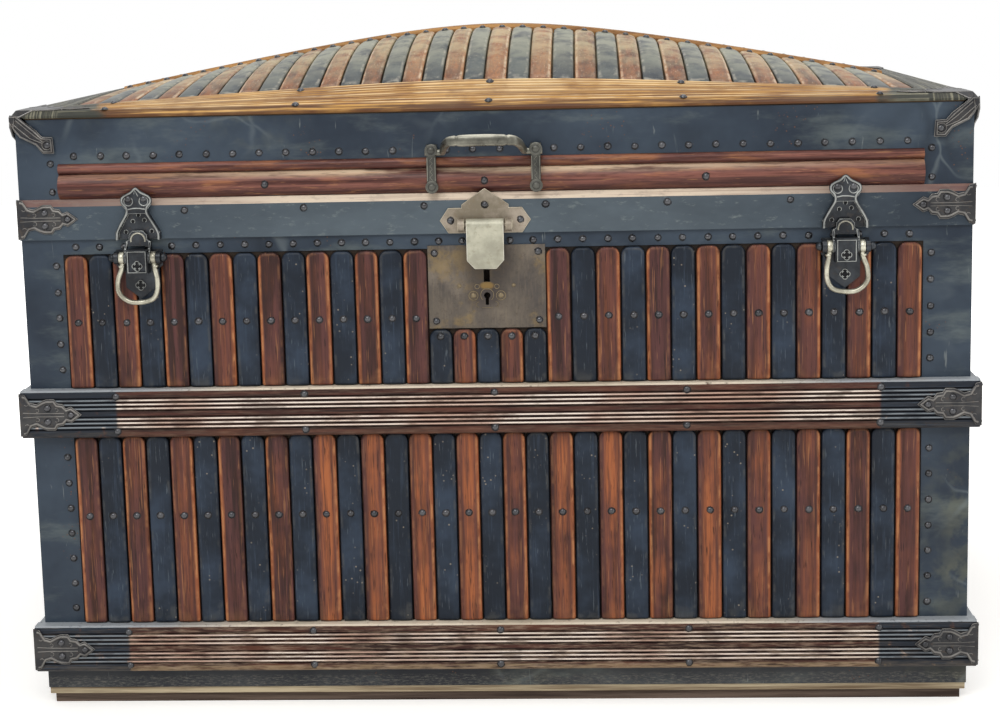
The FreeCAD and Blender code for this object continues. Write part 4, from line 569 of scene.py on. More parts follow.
def bronze_plate(name):
    """Aged lock plate: streaky olive-brown bronze, darker in a ring round the keyhole, golden above it, with the
    hasp's shadow painted as a dark cloud higher up.
    """
    look = Look(name, 0.46, 0.4)
    cloud = look.noise(34, 6, 0.66, vector=look.stretch((1, 1, 0.55)))
    streak = look.noise((420, 420, 40), 5, 0.65)
    fine = look.noise(320, 4, 0.7)
    shade = look.mix(cloud.step(0.34, 0.64), "453f3b", "60574c")
    shade = shade.mix(streak.step(0.46, 0.66) * 0.16, "857560")
    shade = shade.mix(look.noise(15, 5, 0.6).step(0.5, 0.72) * 0.6, "82776a")
    shade = shade.mix(fine.step(0.52, 0.68) * 0.4, "3c332b")
    shade = shade.mix(look.noise(22, 5, 0.7).step(0.52, 0.66) * 0.45, "8d7442")
    x, _, z = look.axes()
    dx = x - KEYHOLE[0]
    rise = z - KEYHOLE[1]

    def far(centre, stretch):
        """Distance from a point above the keyhole, heights counted stretch times."""
        dz = (rise - centre) * stretch
        return look.math("SQRT", dx * dx + dz * dz)

    wobble = look.noise(60, 3).fma(0.008, far(0, 1.25) - 0.004)
    shade = shade.mix(wobble.step(0.024, 0.008) * 0.7, "39302c")
    # painted shadow: a dark cloud where the hasp hangs in front of the plate
    hasp_shadow = look.noise(50, 4).fma(0.016, far(0.034, 0.8) - 0.008)
    shade = shade.mix(hasp_shadow.step(0.038, 0.012) * 0.75, "332c28")
    shade = shade.mix(far(0.0095, 1.8).step(0.0085, 0.004) * 0.7, "8a6c34")
    return look.done(shade, cloud.fma(0.3, 0.34), (fine, 0.0002, 0.5))


# ---------------------------------------------------------------- mesh helpers
def dress(name, mesh, body, material, slot, *replaces):
    """The object of a mesh, riding on a body and standing for the CAD nodes that it replaces."""
    mesh.materials.append(material)
    obj = add_object(name, mesh)
    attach(obj, body)
    if replaces:
        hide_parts(*replaces)
    return obj


def make(name, body, material, slot, verts, faces, marks, *replaces):
    """One smooth mesh piece in the part's frame. marks names colour attributes and gives their values."""
    mesh = bpy.data.meshes.new(name)
    mesh.from_pydata([tuple(v) for v in verts], [], faces)
    mesh.validate()
    mesh.update()
    for polygon in mesh.polygons:
        polygon.use_smooth = True
    for key, values in marks.items():
        layer = mesh.attributes.new(key, "FLOAT_COLOR", "POINT")
        layer.data.foreach_set("color", np.array(values, np.float32).ravel())
    return dress(name, mesh, body, material, slot, *replaces)


def body_of(node):
    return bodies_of(NODES[node])[0]


def band(a, b, count, closed=True):
    """Quads between two rows of count points, the first starting at a and the second at b."""
    return [(a + k, a + (k + 1) % count, b + (k + 1) % count, b + k) for k in range(count if closed else count - 1)]


def softened(node, material, slot, width=0.4 * MM, squeeze=1.0):
    """Stands for a CAD node with every sharp edge rounded and marked, so that its edges can be rubbed.

    squeeze narrows the piece along x about its middle.
    """
    bm = bmesh.new()
    bm.from_mesh(NODES[node].data)
    bm.transform(NODES[node].matrix_world)
    bmesh.ops.remove_doubles(bm, verts=bm.verts, dist=2e-6)
    skin = BVHTree.FromBMesh(bm)
    bmesh.ops.dissolve_limit(bm, angle_limit=math.radians(0.2), verts=bm.verts, edges=bm.edges)
    if squeeze != 1:
        middle = sum(vert.co.x for vert in bm.verts) / len(bm.verts)
        for vert in bm.verts:
            vert.co.x = middle + (vert.co.x - middle) * squeeze
    sharp = [
        edge for edge in bm.edges
        if len(edge.link_faces) == 2 and edge.calc_face_angle(0) > SHARP_ANGLE and edge.calc_length() > width
    ]
    made = bmesh.ops.bevel(
        bm, geom=sharp, offset=width, offset_type="OFFSET", segments=2, profile=0.5, affect="EDGES",
        clamp_overlap=False,
    )
    # a bevel that overlaps throws vertices far out, so those go back to the CAD's surface
    for vert in bm.verts:
        near, _, _, gap = skin.find_nearest(vert.co)
        if squeeze == 1 and gap > width:
            vert.co = near
    wide = [face for face in bm.faces if len(face.verts) > 4]
    bmesh.ops.triangulate(bm, faces=wide, ngon_method="EAR_CLIP")
    bm.faces.index_update()
    rounded = {face.index for face in made["faces"] if face.is_valid}
    mesh = bpy.data.meshes.new(node + "_worn")
    bm.to_mesh(mesh)
    bm.free()
    layer = mesh.attributes.new("relief", "FLOAT_COLOR", "CORNER")
    values = np.zeros((len(mesh.loops), 4), np.float32)
    for polygon in mesh.polygons:
        polygon.use_smooth = polygon.index in rounded
        if polygon.use_smooth:
            values[polygon.loop_start:polygon.loop_start + polygon.loop_total] = 1
    layer.data.foreach_set("color", values.ravel())
    return dress(node + "_worn", mesh, body_of(node), material, slot, node)


class Heap:
    """Verts, faces and marks of one piece, gathered from many small shapes. A mark is how much an edge is rubbed
    bright; on beads it also paints a highlight along one flank.
    """

    def __init__(self):
        self.verts, self.faces, self.marks = [], [], []

    def add(self, verts, faces, mark=1.0):
        start = len(self.verts)
        self.verts += verts
        self.faces += [tuple(i + start for i in face) for face in faces]
        self.marks += [(mark,) * 4] * len(verts)

    def bead(self, points, out, radius, high=None, closed=False):
        """A raised half-round line along points on a surface that faces out."""
        high, count, sides = high or radius, len(points), 5
        verts, faces = [], []
        for i, point in enumerate(points):
            before = points[i - 1] if i or closed else point
            after = points[(i + 1) % count] if i < count - 1 or closed else point
            across = (after - before).cross(out).normalized()
            for k in range(sides):
                turn = math.pi * k / (sides - 1)
                verts.append(point + across * (math.cos(turn) * radius) + out * (math.sin(turn) * high))
        for i in range(count if closed else count - 1):
            faces += band(i * sides, (i + 1) % count * sides, sides, False)
        start = len(self.marks)
        self.add(verts, faces, 0)
        # the crest is marked as rubbed, and the flank on one side as a painted highlight
        for i in range(start, len(self.marks)):
            if (i - start) % sides in (2, 3):
                self.marks[i] = (1.0,) * 4

    def dome(self, point, out, radius, high, around=10, rings=4, mark=1.0):
        """A round nail or rivet head, with a ring of painted shadow round it."""
        side = out.orthogonal().normalized()
        other = out.cross(side)
        verts = [point + out * high]
        for j in range(1, rings + 1):
            turn = math.pi / 2 * j / rings
            r, h = radius * math.sin(turn), high * math.cos(turn)
            for k in range(around):
                a = 2 * math.pi * k / around
                verts.append(point + side * (r * math.cos(a)) + other * (r * math.sin(a)) + out * h)
        # painted shadow: a flat ring, 1.22 times as wide as the head, lies round it
        verts += [point + (v - point) * 1.22 + out * (0.06 * MM) for v in verts[-around:]]
        faces = [(0, 1 + k, 1 + (k + 1) % around) for k in range(around)]
        for j in range(rings):
            faces += [(a, d, c, b) for a, b, c, d in band(1 + j * around, 1 + (j + 1) * around, around)]
        self.add(verts, faces, mark)
        # the head's outer ring and the ring of painted shadow stay unrubbed, so they stay dark
        self.marks[-2 * around:] = [(0,) * 4] * (2 * around)

    def drum(self, point, out, radius, depth, around=20):
        """A short round boss with a bevelled face."""
        side = out.orthogonal().normalized()
        other = out.cross(side)
        verts, faces, ease = [], [], 0.7 * MM
        for r, h in ((radius, 0), (radius, depth - ease), (radius - ease, depth), (0.6 * radius, depth - 0.4 * MM)):
            for k in range(around):
                a = 2 * math.pi * k / around
                verts.append(point + (side * math.cos(a) + other * math.sin(a)) * r + out * h)
        for j in range(3):
            faces += band(j * around, (j + 1) * around, around)
        faces.append(tuple(range(3 * around, 4 * around)))
        self.add(verts, faces, 0.3)
        for k in range(2 * around, 3 * around):
            self.marks[-1 - k] = (1,) * 4

    def block(self, low, high):
        """A plain bar between two corners, its edges eased by a narrow bevel on the front."""
        ease = 0.6 * MM
        verts = []
        for y, cut in ((high[1], 0), (low[1] + ease, 0), (low[1], ease)):
            verts += [Vector((x, y, z)) for x, z in (
                (low[0] + cut, low[2] + cut), (high[0] - cut, low[2] + cut),
                (high[0] - cut, high[2] - cut), (low[0] + cut, high[2] - cut),
            )]
        self.add(verts, [(8, 9, 10, 11), (3, 2, 1, 0), *band(0, 4, 4), *band(4, 8, 4)], 0.2)

    def sweep(self, points, sizes, up, around=14, sharp=0.75):
        """A bar of rounded section along points, sizes giving its half height along up and half depth."""
        rows = []
        for i, (point, (tall, deep)) in enumerate(zip(points, sizes)):
            along = (points[min(i + 1, len(points) - 1)] - points[max(i - 1, 0)]).normalized()
            rise = (up - along * up.dot(along)).normalized()
            across = along.cross(rise)
            for k in range(around):
                a = 2 * math.pi * k / around
                c, s = (math.copysign(abs(t) ** sharp, t) for t in (math.cos(a), math.sin(a)))
                rows.append((point + rise * (tall * s) + across * (deep * c), abs(s) > 0.6))
        faces = []
        for i in range(len(points) - 1):
            faces += band(i * around, (i + 1) * around, around)
        faces += [tuple(range(around))[::-1], tuple(range(len(rows) - around, len(rows)))]
        start = len(self.verts)
        self.add([v for v, _ in rows], faces, 0.1)
        for i, (_, edge) in enumerate(rows):
            if edge:
                self.marks[start + i] = (0.8,) * 4

    def piece(self, name, body, material, slot, *replaces):
        return make(name, body, material, slot, self.verts, self.faces, {"relief": self.marks}, *replaces)


def clusters(node):
    """The vertices of each separate solid of a CAD node."""
    mesh = NODES[node].data
    co = np.empty(len(mesh.vertices) * 3)
    mesh.vertices.foreach_get("co", co)
    co = co.reshape(-1, 3)
    _, where = np.unique(np.round(co * 1e6).astype(np.int64), axis=0, return_inverse=True)
    where = where.ravel()
    edges = np.empty(len(mesh.edges) * 2, np.int64)
    mesh.edges.foreach_get("vertices", edges)
    a, b = where[edges.reshape(-1, 2)].T
    label = np.arange(where.max() + 1)
    while True:
        low = np.minimum(label[a], label[b])
        new = label.copy()
        np.minimum.at(new, a, low)
        np.minimum.at(new, b, low)
        new = new[new]
        if (new == label).all():
            break
        label = new
    owner = label[where]
    return [co[owner == one] for one in np.unique(owner)]


def islands(node):
    """Lowest and highest corner of each separate solid of a CAD node."""
    return [(Vector(points.min(0)), Vector(points.max(0))) for points in clusters(node)]


def nails(node, body, material, seed):
    """A slightly tipped domed head for each nail of the node, standing where its cone stands."""
    dice = random.Random(seed)
    heap = Heap()
    middle = Vector((0, 0, 0.25))
    for points in clusters(node):
        centre = points.mean(0)
        _, _, axes = np.linalg.svd(points - centre)
        out = Vector(axes[2])
        if out.dot(Vector(centre) - middle) < 0:
            out.negate()
        level = (points - centre) @ np.array(out)
        foot = Vector(centre) + out * float(level.min())
        tip = Vector([dice.uniform(-0.08, 0.08) for _ in range(3)])
        size = dice.uniform(0.95, 1.04)
        heap.dome(foot, (out + tip).normalized(), 3.25 * MM * size, 2.3 * MM * size)
    heap.piece(node + "_domed", body, material, "rivet_iron", node)


def curve(points, steps):
    """Smooth line through the points."""
    line = []
    for i in range(len(points) - 1):
        a, b = points[max(i - 1, 0)], points[i]
        c, d = points[i + 1], points[min(i + 2, len(points) - 1)]
        for k in range(steps):
            t = k / steps
            line.append(0.5 * (2 * b + (c - a) * t + (2 * a - 5 * b + 4 * c - d) * t * t
                               + (3 * b - a - 3 * c + d) * t ** 3))
    return line + [points[-1]]


def arc(centre, side, up, radius, start, end, count=9):
    """Points on an arc, its angles in degrees from side towards up."""
    turns = [math.radians(start + (end - start) * i / (count - 1)) for i in range(count)]
    return [centre + side * (radius * math.cos(t)) + up * (radius * math.sin(t)) for t in turns]


def face_at(x, y, z):
    """A function that gives the point so many millimetres across and up from one on a face that looks to -Y."""
    return lambda u, w: Vector((x + u * MM, y, z + w * MM))


def outer_corner(low, high, z):
    """The corner of a piece that is furthest from the trunk's middle, and the signs of its x and y."""
    sx, sy = (math.copysign(1, a) for a in (low + high)[:2])
    return Vector((high.x if sx > 0 else low.x, high.y if sy > 0 else low.y, z)), sx, sy


def clamp_scrolls(node, body, material):
    """Pressed lines on the clamps: a border, two lines along the middle and curls in the hollows."""
    heap = Heap()
    for low, high in islands(node):
        half = (high.z - low.z) / 1.86
        corner, sx, sy = outer_corner(low, high, ((low + high) / 2).z)
        for along, out, long in ((X * -sx, Y * sy, high.x - low.x), (Y * -sy, X * sx, high.y - low.y)):
            def at(u, w):
                return corner + along * (u * long) + Z * (w * half)

            line = [at(u, w) for u, w in CLAMP_SHAPE] + [at(u, -w) for u, w in reversed(CLAMP_SHAPE[:-1])]
            heap.bead(line, out, 1.4 * MM, 1.2 * MM)
            for w in (-1, 1):
                heap.bead([at(0.06, 0.1 * w), at(0.3, 0.07 * w), at(0.72, 0.07 * w)], out, 0.55 * MM, 0.6 * MM)
                for u, v, radius, start, end, thick in CLAMP_CURLS:
                    heap.bead(arc(at(u, v * w), along, Z * w, radius * MM, start, end), out, thick * MM)
    heap.piece(node + "_scrolls", body, material, "clamp_iron")


def cap_top(x, y):
    """Upper face of the sheet caps over the ends of the top rails."""
    inset = min(CAP_X - abs(x), CAP_Y - abs(y))
    return dome(x, y) + SEAT + 6.5 * MM - max(0, 4.5 * MM - inset) + CAP_GAUGE


def cap_scrolls(material):
    """Pressed lines on the caps of the lid's top corners: straps on their sides and arms on their tops."""
    heap = Heap()
    for low, high in islands("top_corner_caps"):
        corner, sx, sy = outer_corner(low, high, 0.5763)
        for along, out in ((X * -sx, Y * sy), (Y * -sy, X * sx)):
            def at(u, w):
                return corner + along * ((u + 1) * MM) + Z * (w * MM)

            heap.bead([at(*p) for p in CAP_STRAP_SHAPE], out, 1.0 * MM, 1.1 * MM, closed=True)
            for shift in (-2.6, 0.6):
                ridge = [at(5 + shift, -4 + shift), at(21 + shift, -18 + shift), at(30, -24 + shift / 2)]
                heap.bead(ridge, out, 0.7 * MM, 0.8 * MM)
            heap.bead(arc(at(33.5, -27), along, Z, 4.4 * MM, 0, 360, 13), out, 0.5 * MM)
        for turned in (1, -1):
            line = []
            for u, v in (p[::turned] for p in CAP_ARM_SHAPE):
                x, y = sx * (CAP_X - u * MM), sy * (CAP_Y - v * MM)
                line.append(Vector((x, y, cap_top(x, y))))
            heap.bead(line, Z, 0.7 * MM, 0.8 * MM)
    heap.piece("top_corner_caps_scrolls", "lid", material, "clamp_iron")


def lock_details(material):
    """Studs, ring screws and the engraved lines round the keyhole."""
    heap = Heap()
    at = face_at(KEYHOLE[0], min(low.y for low, _ in islands("lock_plate")), KEYHOLE[1])
    for u in (-25.9, 25):
        heap.dome(at(u, 9.5), -Y, 1.7 * MM, 1.2 * MM)
    for u in (-12.9, 12.9):
        heap.dome(at(u, 0), -Y, 2.4 * MM, 1.1 * MM)
        heap.bead(arc(at(u, 0), X, Z, 4.4 * MM, 0, 360, 17), -Y, 0.5 * MM)
        heap.bead(arc(at(0.72 * u, 8.6), X, Z, 2.2 * MM, 0, 360, 13), -Y, 0.4 * MM)
        heap.bead(arc(at(0.6 * u, -8.4), X * (1 if u < 0 else -1), Z, 2.6 * MM, 90, 270, 9), -Y, 0.4 * MM)
    heap.bead(arc(at(0, 0.6), X, Z, 6.2 * MM, -50, 230, 19), -Y, 0.45 * MM)
    heap.bead([at(-5, -11.5), at(5, -11.5)], -Y, 0.4 * MM)
    heap.piece("lock_plate_details", "case", material, "aged_brass")


def handle_posts(material):
    """Cast dog-bone posts: a rosette at each end, a shank with raised edges and a zigzag between them."""
    heap = Heap()
    for low, high in islands("handle_posts"):
        x, front = (low.x + high.x) / 2, low.y + 1.2 * MM
        heap.block((x - 4.4 * MM, front, low.z + 4 * MM), (x + 4.4 * MM, low.y + 5 * MM, high.z - 4 * MM))
        heap.block((x - 4.8 * MM, low.y + 4.5 * MM, high.z - 11 * MM), (x + 4.8 * MM, high.y, high.z - 1 * MM))
        for z in (low.z + 6 * MM, high.z - 6 * MM):
            middle = Vector((x, low.y, z))
            heap.drum(middle + Y * (5 * MM), -Y, 6 * MM, 4.4 * MM)
            heap.dome(middle + Y * (1.0 * MM), -Y, 3.4 * MM, 1.6 * MM, mark=0.3)
        reach = high.z - low.z - 25 * MM
        for side in (-1, 1):
            ends = [Vector((x + side * 3.6 * MM, front, low.z + t)) for t in (12 * MM, 12.5 * MM + reach)]
            heap.bead(ends, -Y, 0.8 * MM, 0.9 * MM)
        zigzag = [Vector((x + (-1) ** i * 1.2 * MM, front, low.z + 12.5 * MM + reach * i / 8)) for i in range(9)]
        heap.bead(zigzag, -Y, 0.5 * MM, 0.6 * MM)
    heap.piece("handle_posts_cast", "lid", material, "clamp_iron", "handle_posts")


def lid_handle(material):
    """Cast lifting handle: flat swelling grip between two arms that curve down to their pivots."""
    points = np.concatenate(clusters("lid_handle"))
    low, high = Vector(points.min(0)), Vector(points.max(0))
    pivots = points[np.abs(points[:, 0] - high.x) < 1 * MM].mean(0)
    grips = points[np.abs(points[:, 0] - (low.x + high.x) / 2) < 25 * MM].mean(0)
    reach = Vector((0, *(grips - pivots)[1:]))
    hinge = Vector(((low.x + high.x) / 2, pivots[1], pivots[2]))
    # each row: distance from the middle, share of the reach, half height and half depth in millimetres
    shape = (
        ((high.x - low.x) / 2, 0.0, 2.8, 2.8), (39.5 * MM, 0.0, 2.8, 2.8), (37.5 * MM, 0.12, 3.6, 3.0),
        (34.5 * MM, 0.62, 4.0, 3.2), (30 * MM, 0.93, 4.4, 3.2), (25 * MM, 1.0, 4.9, 3.4), (23 * MM, 1.0, 4.4, 3.2),
        (20 * MM, 1.0, 5.2, 3.9), (8 * MM, 1.03, 5.4, 4.2),
    )
    spots = [hinge + X * u + reach * r for u, r, _, _ in shape]
    sizes = [Vector((a, b, 0)) * MM for _, _, a, b in shape]
    spots += [hinge * 2 - Vector((p.x, hinge.y * 2 - p.y, hinge.z * 2 - p.z)) for p in reversed(spots)]
    sizes += list(reversed(sizes))
    heap = Heap()
    heap.sweep(curve(spots, 5), [(a, b) for a, b, _ in curve(sizes, 5)], Z)
    heap.piece("lid_handle_cast", body_of("lid_handle"), material, "bail_steel", "lid_handle")


def latch_details(iron_look, hole_shade_look, bail_look, rim_look):
    """Raised rims of the keepers, frames of the bases, the quatrefoil screw holes and the keepers' holes as black
    discs of painted shade, arches of the levers, bails.
    """
    rims, frames, hole_shades = Heap(), Heap(), Heap()
    for low, high in islands("latch_keepers"):
        x, z = (low.x + high.x) / 2, low.z
        at, deep = face_at(x, low.y + 0.3 * MM, z), face_at(x, high.y - 1.8 * MM, z)
        line = [at(u, w) for u, w in KEEPER_SHAPE]
        line += [Vector((2 * x - p.x, p.y, p.z)) for p in reversed(line[:-1])]
        rims.bead(curve(line, 4), -Y, 1.25 * MM, 1.1 * MM)
        for u in (-7.2, 7.2):
            rims.bead(arc(at(u, 36.4), X, Z, 4.3 * MM, 0, 360, 17), -Y, 0.7 * MM, 0.8 * MM)
        rims.bead([at(-1.6, 43), at(-0.6, 47), at(0.8, 43.5), at(2, 41)], -Y, 0.6 * MM)
        rims.bead([at(-8, 28.6), at(-3, 29.6), at(3, 29.6), at(8, 28.6)], -Y, 0.9 * MM)
        for u, w in ((-5, 17), (6, 18), (-12, 7), (12.5, 7.5), (0.5, 23)):
            # painted shade: a flat black disc stands for the dark inside each hole of the keeper
            hole_shades.dome(deep(u, w), -Y, 1.6 * MM, 0.2 * MM, 8, 2)
            rims.bead(arc(deep(u, w), X, Z, 2.1 * MM, -60, 220, 9), -Y, 0.5 * MM)
    rims.piece("latch_keepers_rims", "lid", iron_look, "clamp_iron")
    for low, high in islands("latch_screws"):
        centre = Vector(((low.x + high.x) / 2, high.y - 0.1 * MM, (low.z + high.z) / 2))
        for u, w in ((2.3, 0), (-2.3, 0), (0, 2.3), (0, -2.3)):
            lobe = centre + X * (u * MM) + Z * (w * MM)
            # painted shade: flat black lobes stand for the dark inside the quatrefoil hole
            hole_shades.dome(lobe, -Y, 2.3 * MM, 0.25 * MM, 12, 2)
            turn = math.degrees(math.atan2(w, u))
            frames.bead(arc(lobe, X, Z, 2.6 * MM, turn - 120, turn + 120, 11), -Y, 0.6 * MM, 0.9 * MM)
        hole_shades.dome(centre, -Y, 1.8 * MM, 0.3 * MM, 12, 2)
    for low, high in islands("latch_bases"):
        at = face_at((low.x + high.x) / 2, low.y + 0.5 * MM, SEAM_Z)
        square = [at(-8.6, -29.4), at(8.6, -29.4), at(8.6, -9.6), at(-8.6, -9.6)]
        frames.bead(square, -Y, 0.8 * MM, 0.8 * MM, closed=True)
    frames.piece("latch_bases_frames", body_of("latch_bases"), iron_look, "clamp_iron")
    hole_shades.piece("latch_screws_hole_shade", body_of("latch_bases"), hole_shade_look, "clamp_iron", "latch_screws")
    for word, lean in (("left", -1), ("right", 1)):
        node = "latch_lever_" + word
        points = np.concatenate(clusters(node))
        tip = points[points[:, 2] > points[:, 2].max() - 8 * MM]
        middle = Vector(((points[:, 0].min() + points[:, 0].max()) / 2, tip[:, 1].min(), points[:, 2].max() - 9 * MM))
        arch = Heap()
        arch.bead(arc(middle, X, Z, 6.8 * MM, -12, 192, 15), -Y, 0.9 * MM, 0.9 * MM)
        arch.piece(node + "_arch", body_of(node), rim_look, "clamp_iron")
        latch_bail("latch_bail_" + word, lean, bail_look)


def latch_bail(node, lean, material):
    """A bail of round wire that droops to one side, with an eye and a collar at each end."""
    points = np.concatenate(clusters(node))
    low, high = points.min(0), points.max(0)
    x, top = (low[0] + high[0]) / 2, high[2] - 6 * MM
    eyes = points[points[:, 2] > top]
    reach = float(np.abs(eyes[:, 0] - x).max() + np.abs(eyes[:, 0] - x).min()) / 2
    y = float((eyes[:, 1].min() + eyes[:, 1].max()) / 2)
    base = low[2] + 2.4 * MM
    tall = top - base
    shape = (
        (-reach, 1.0), (-reach, 0.8), (-reach - 4.5 * MM, 0.52), (-reach - 4.6 * MM, 0.24), (-reach + 3 * MM, 0.05),
        (-2 * MM, 0.0), (reach - 4 * MM, 0.06), (reach + 1.5 * MM, 0.24), (reach + 2.4 * MM, 0.52), (reach, 0.8),
        (reach, 1.0),
    )
    line = curve([Vector((x - lean * u, y, base + tall * w)) for u, w in shape], 5)
    heap = Heap()
    heap.sweep(line, [(2.4 * MM, 2.4 * MM)] * len(line), Y, 12, 1.0)
    for side in (-1, 1):
        centre = Vector((x + side * reach, y, top))
        ends = [centre - X * (2.5 * MM), centre - X * (2 * MM), centre + X * (2 * MM), centre + X * (2.5 * MM)]
        heap.sweep(ends, [(r * MM,) * 2 for r in (5.2, 5.9, 5.9, 5.2)], Y, 20, 1.0)
        collar = centre - Z * (8 * MM) + X * (side * 0.8 * MM)
        ends = [collar + Z * (1.5 * MM), collar, collar - Z * (1.5 * MM)]
        heap.sweep(ends, [(r * MM,) * 2 for r in (2.5, 3.1, 2.5)], Y, 12, 1.0)
    heap.piece(node + "_wire", body_of(node), material, "bail_steel", node)


def leather_handles(material):
    """Stitched leather grips, rolled round the pins at both ends."""
    for node in ("left_handle_grip", "right_handle_grip"):
        low, high = islands(node)[0]
        x, top, half = (low.x + high.x) / 2, high.z - 8 * MM, high.y - 7 * MM
        drop = top - (low.z + 7 * MM)
        out = X * math.copysign(1, x)
        # each row: inward in millimetres, share of the drop, half height and half depth in millimetres
        shape = (
            (0, 0, 4.2, 8.5), (0, 0.14, 4.4, 8), (1, 0.34, 5.2, 7), (4, 0.6, 6.2, 6.8), (10, 0.84, 6.8, 6.9),
            (19, 0.97, 7, 7), (32, 1.0, 7, 7),
        )
        spots = [Vector((x, half - inward * MM, top - drop * down)) for inward, down, _, _ in shape]
        sizes = [Vector((a, b, 0)) * MM for _, _, a, b in shape]
        spots += [Vector((x, -p.y, p.z)) for p in reversed(spots)]
        sizes += list(reversed(sizes))
        line, wide = curve(spots, 4), curve(sizes, 4)
        heap = Heap()
        heap.sweep(line, [(a, b) for a, b, _ in wide], out, 18, 0.85)
        for side in (-1, 1):
            centre = Vector((x, side * half, top))
            ends = [centre + Y * (v * MM) for v in (-7, -6, 0, 6, 7)]
            heap.sweep(ends, [(r * MM,) * 2 for r in (6.6, 7.8, 8, 7.8, 6.6)], out, 20, 1.0)
        heap.marks = [(0,) * 4] * len(heap.verts)
        for row in (-1, 1):
            for i in range(2, len(line) - 2):
                along = (line[i + 1] - line[i - 1]).normalized()
                across = along.cross(out)
                centre = line[i] + out * (wide[i].x * 0.93) + across * (row * wide[i].y * 0.45)
                heap.bead([centre - along * (1.3 * MM), centre + along * (1.3 * MM)], out, 0.55 * MM, 0.5 * MM)
        heap.piece(node + "_leather", body_of(node), material, "handle_leather", node)


def pull_tapes(material):
    """Tape pulls of the tray: each a strip folded over into a flat tab, its ends lying on the wall."""
    for index, (low, high) in enumerate(islands("tray_pulls")):
        side = math.copysign(1, low.x)
        wall = high.x if side > 0 else low.x
        top, base = high.z, low.z
        # each row: millimetres out from the wall, and height
        shape = (
            (-0.3, base), (-0.3, base + 12 * MM), (-0.3, top - 19 * MM), (0.4, top - 11 * MM), (2.2, top - 5 * MM),
            (1.2, top - 1 * MM), (-1.2, top), (-3.6, top - 1.6 * MM), (-4.2, top - 6 * MM), (-2.4, top - 13 * MM),
            (-1.5, top - 19 * MM), (-1.5, base + 10 * MM), (-1.3, base + 1 * MM),
        )
        line = curve([Vector((wall + side * u * MM, 0, z)) for u, z in shape], 4)
        long = sum((b - a).length for a, b in zip(line, line[1:]))
        half, steps = (high.y - low.y) / 2, 8
        verts, faces = [], []
        for i, point in enumerate(line):
            for k in range(steps + 1):
                v = 2 * k / steps - 1
                loose = min(1, max(0, (point.z - base - 22 * MM) / (6 * MM)))
                wave = 0.25 * MM * math.sin(3.1 * v + 0.35 * i) * loose
                verts.append(point + Y * (half * v) + X * (side * wave))
        for i in range(len(line) - 1):
            faces += band(i * (steps + 1), (i + 1) * (steps + 1), steps + 1, False)
        name = f"tray_pull_tape_{index}"
        obj = make(name, body_of("tray_pulls"), material, "pull_tape", verts, faces, {}, "tray_pulls")


def hinge_rivets(material):
    """Rivet heads through the plates of the rear hinges."""
    for node in HINGE_LEAVES:
        heap = Heap()
        for low, high in islands(node):
            x, tall = (low.x + high.x) / 2, high.z - low.z
            for u, w in ((-9, 0.2), (9, 0.2), (0, 0.42)):
                z = low.z + tall * w if node == HINGE_LEAVES[0] else high.z - tall * w
                heap.dome(Vector((x + u * MM, leaf_face(node), z)), Y, 3 * MM, 1.7 * MM)
        heap.piece(node + "_rivets", body_of(node), material, "rivet_iron")


def leaf_face(node):
    """Level of the outer face of the hinge plates, away from the knuckles."""
    low = min(low.z for low, _ in islands(node))
    high = max(high.z for _, high in islands(node))
    near = low + 5 * MM if node == HINGE_LEAVES[0] else high - 5 * MM
    return max(v.co.y for v in NODES[node].data.vertices if abs(v.co.z - near) < 6 * MM)


def slat_grid(width, length, thick, corner, middle, tone):
    """Rows of (across, along, height) and marks of one slat: eased edges, rounded ends, crowned face.

    corner is the plan radius at (start, end), middle the number of spans between its rounded ends.
    """
    def ends(radius):
        return [radius * (1 - math.cos(a * math.pi / 10)) for a in range(6)]

    first, last = corner[0], length - corner[1]
    stations = ends(corner[0]) + [first + (last - first) * i / middle for i in range(1, middle)]
    stations += [length - s for s in reversed(ends(corner[1]))]
    rows, marks = [], []
    for v in stations:
        near = min(v, length - v)
        radius = corner[0] if v < length / 2 else corner[1]
        half = width / 2
        if near < radius:
            half -= radius - math.sqrt(max(radius ** 2 - (radius - near) ** 2, 0))
        row = []
        for s in ACROSS:
            u = half * s
            inward = min(half - abs(u), near)
            fall = max(SLAT_EDGE - inward, 0)
            top = thick - (SLAT_EDGE - math.sqrt(max(SLAT_EDGE ** 2 - fall ** 2, 0)))
            top -= SLAT_CROWN * (2 * u / width) ** 2
            row.append((u, v, max(top, 0)))
            marks.append((min(inward / (2 * SLAT_EDGE), 1), near, tone, 0.5 + u / width))
        rows.append(row)
    return rows, marks


def slat_faces(rows, start):
    """Faces of a slat's grid, and the points round its edge."""
    count, wide = len(rows), len(rows[0])
    faces = []
    for j in range(count - 1):
        faces += band(start + j * wide, start + (j + 1) * wide, wide, False)
    rim = [start + i for i in range(wide)]
    rim += [start + j * wide + wide - 1 for j in range(1, count)]
    rim += [start + (count - 1) * wide + i for i in range(wide - 2, -1, -1)]
    rim += [start + j * wide for j in range(count - 2, 0, -1)]
    return faces, rim


def slats(node, body, material, slot, pieces):
    """All slats of one colour as one piece. Each entry gives a grid, its marks and its placing."""
    verts, faces, marks = [], [], []
    for rows, points, place in pieces:
        start = len(verts)
        flat = [p for row in rows for p in row]
        verts += [place(*p) for p in flat]
        marks += points
        new, rim = slat_faces(rows, start)
        faces += new
        base, n = len(verts), len(rim)
        for index in rim:
            u, v, _ = flat[index - start]
            verts.append(place(u, v, 0))
            marks.append((0, *points[index - start][1:]))
        faces += [(rim[i], base + i, base + (i + 1) % n, rim[(i + 1) % n]) for i in range(n)]
    make(node + "_worn", body, material, slot, verts, faces, {"slat": marks}, node)


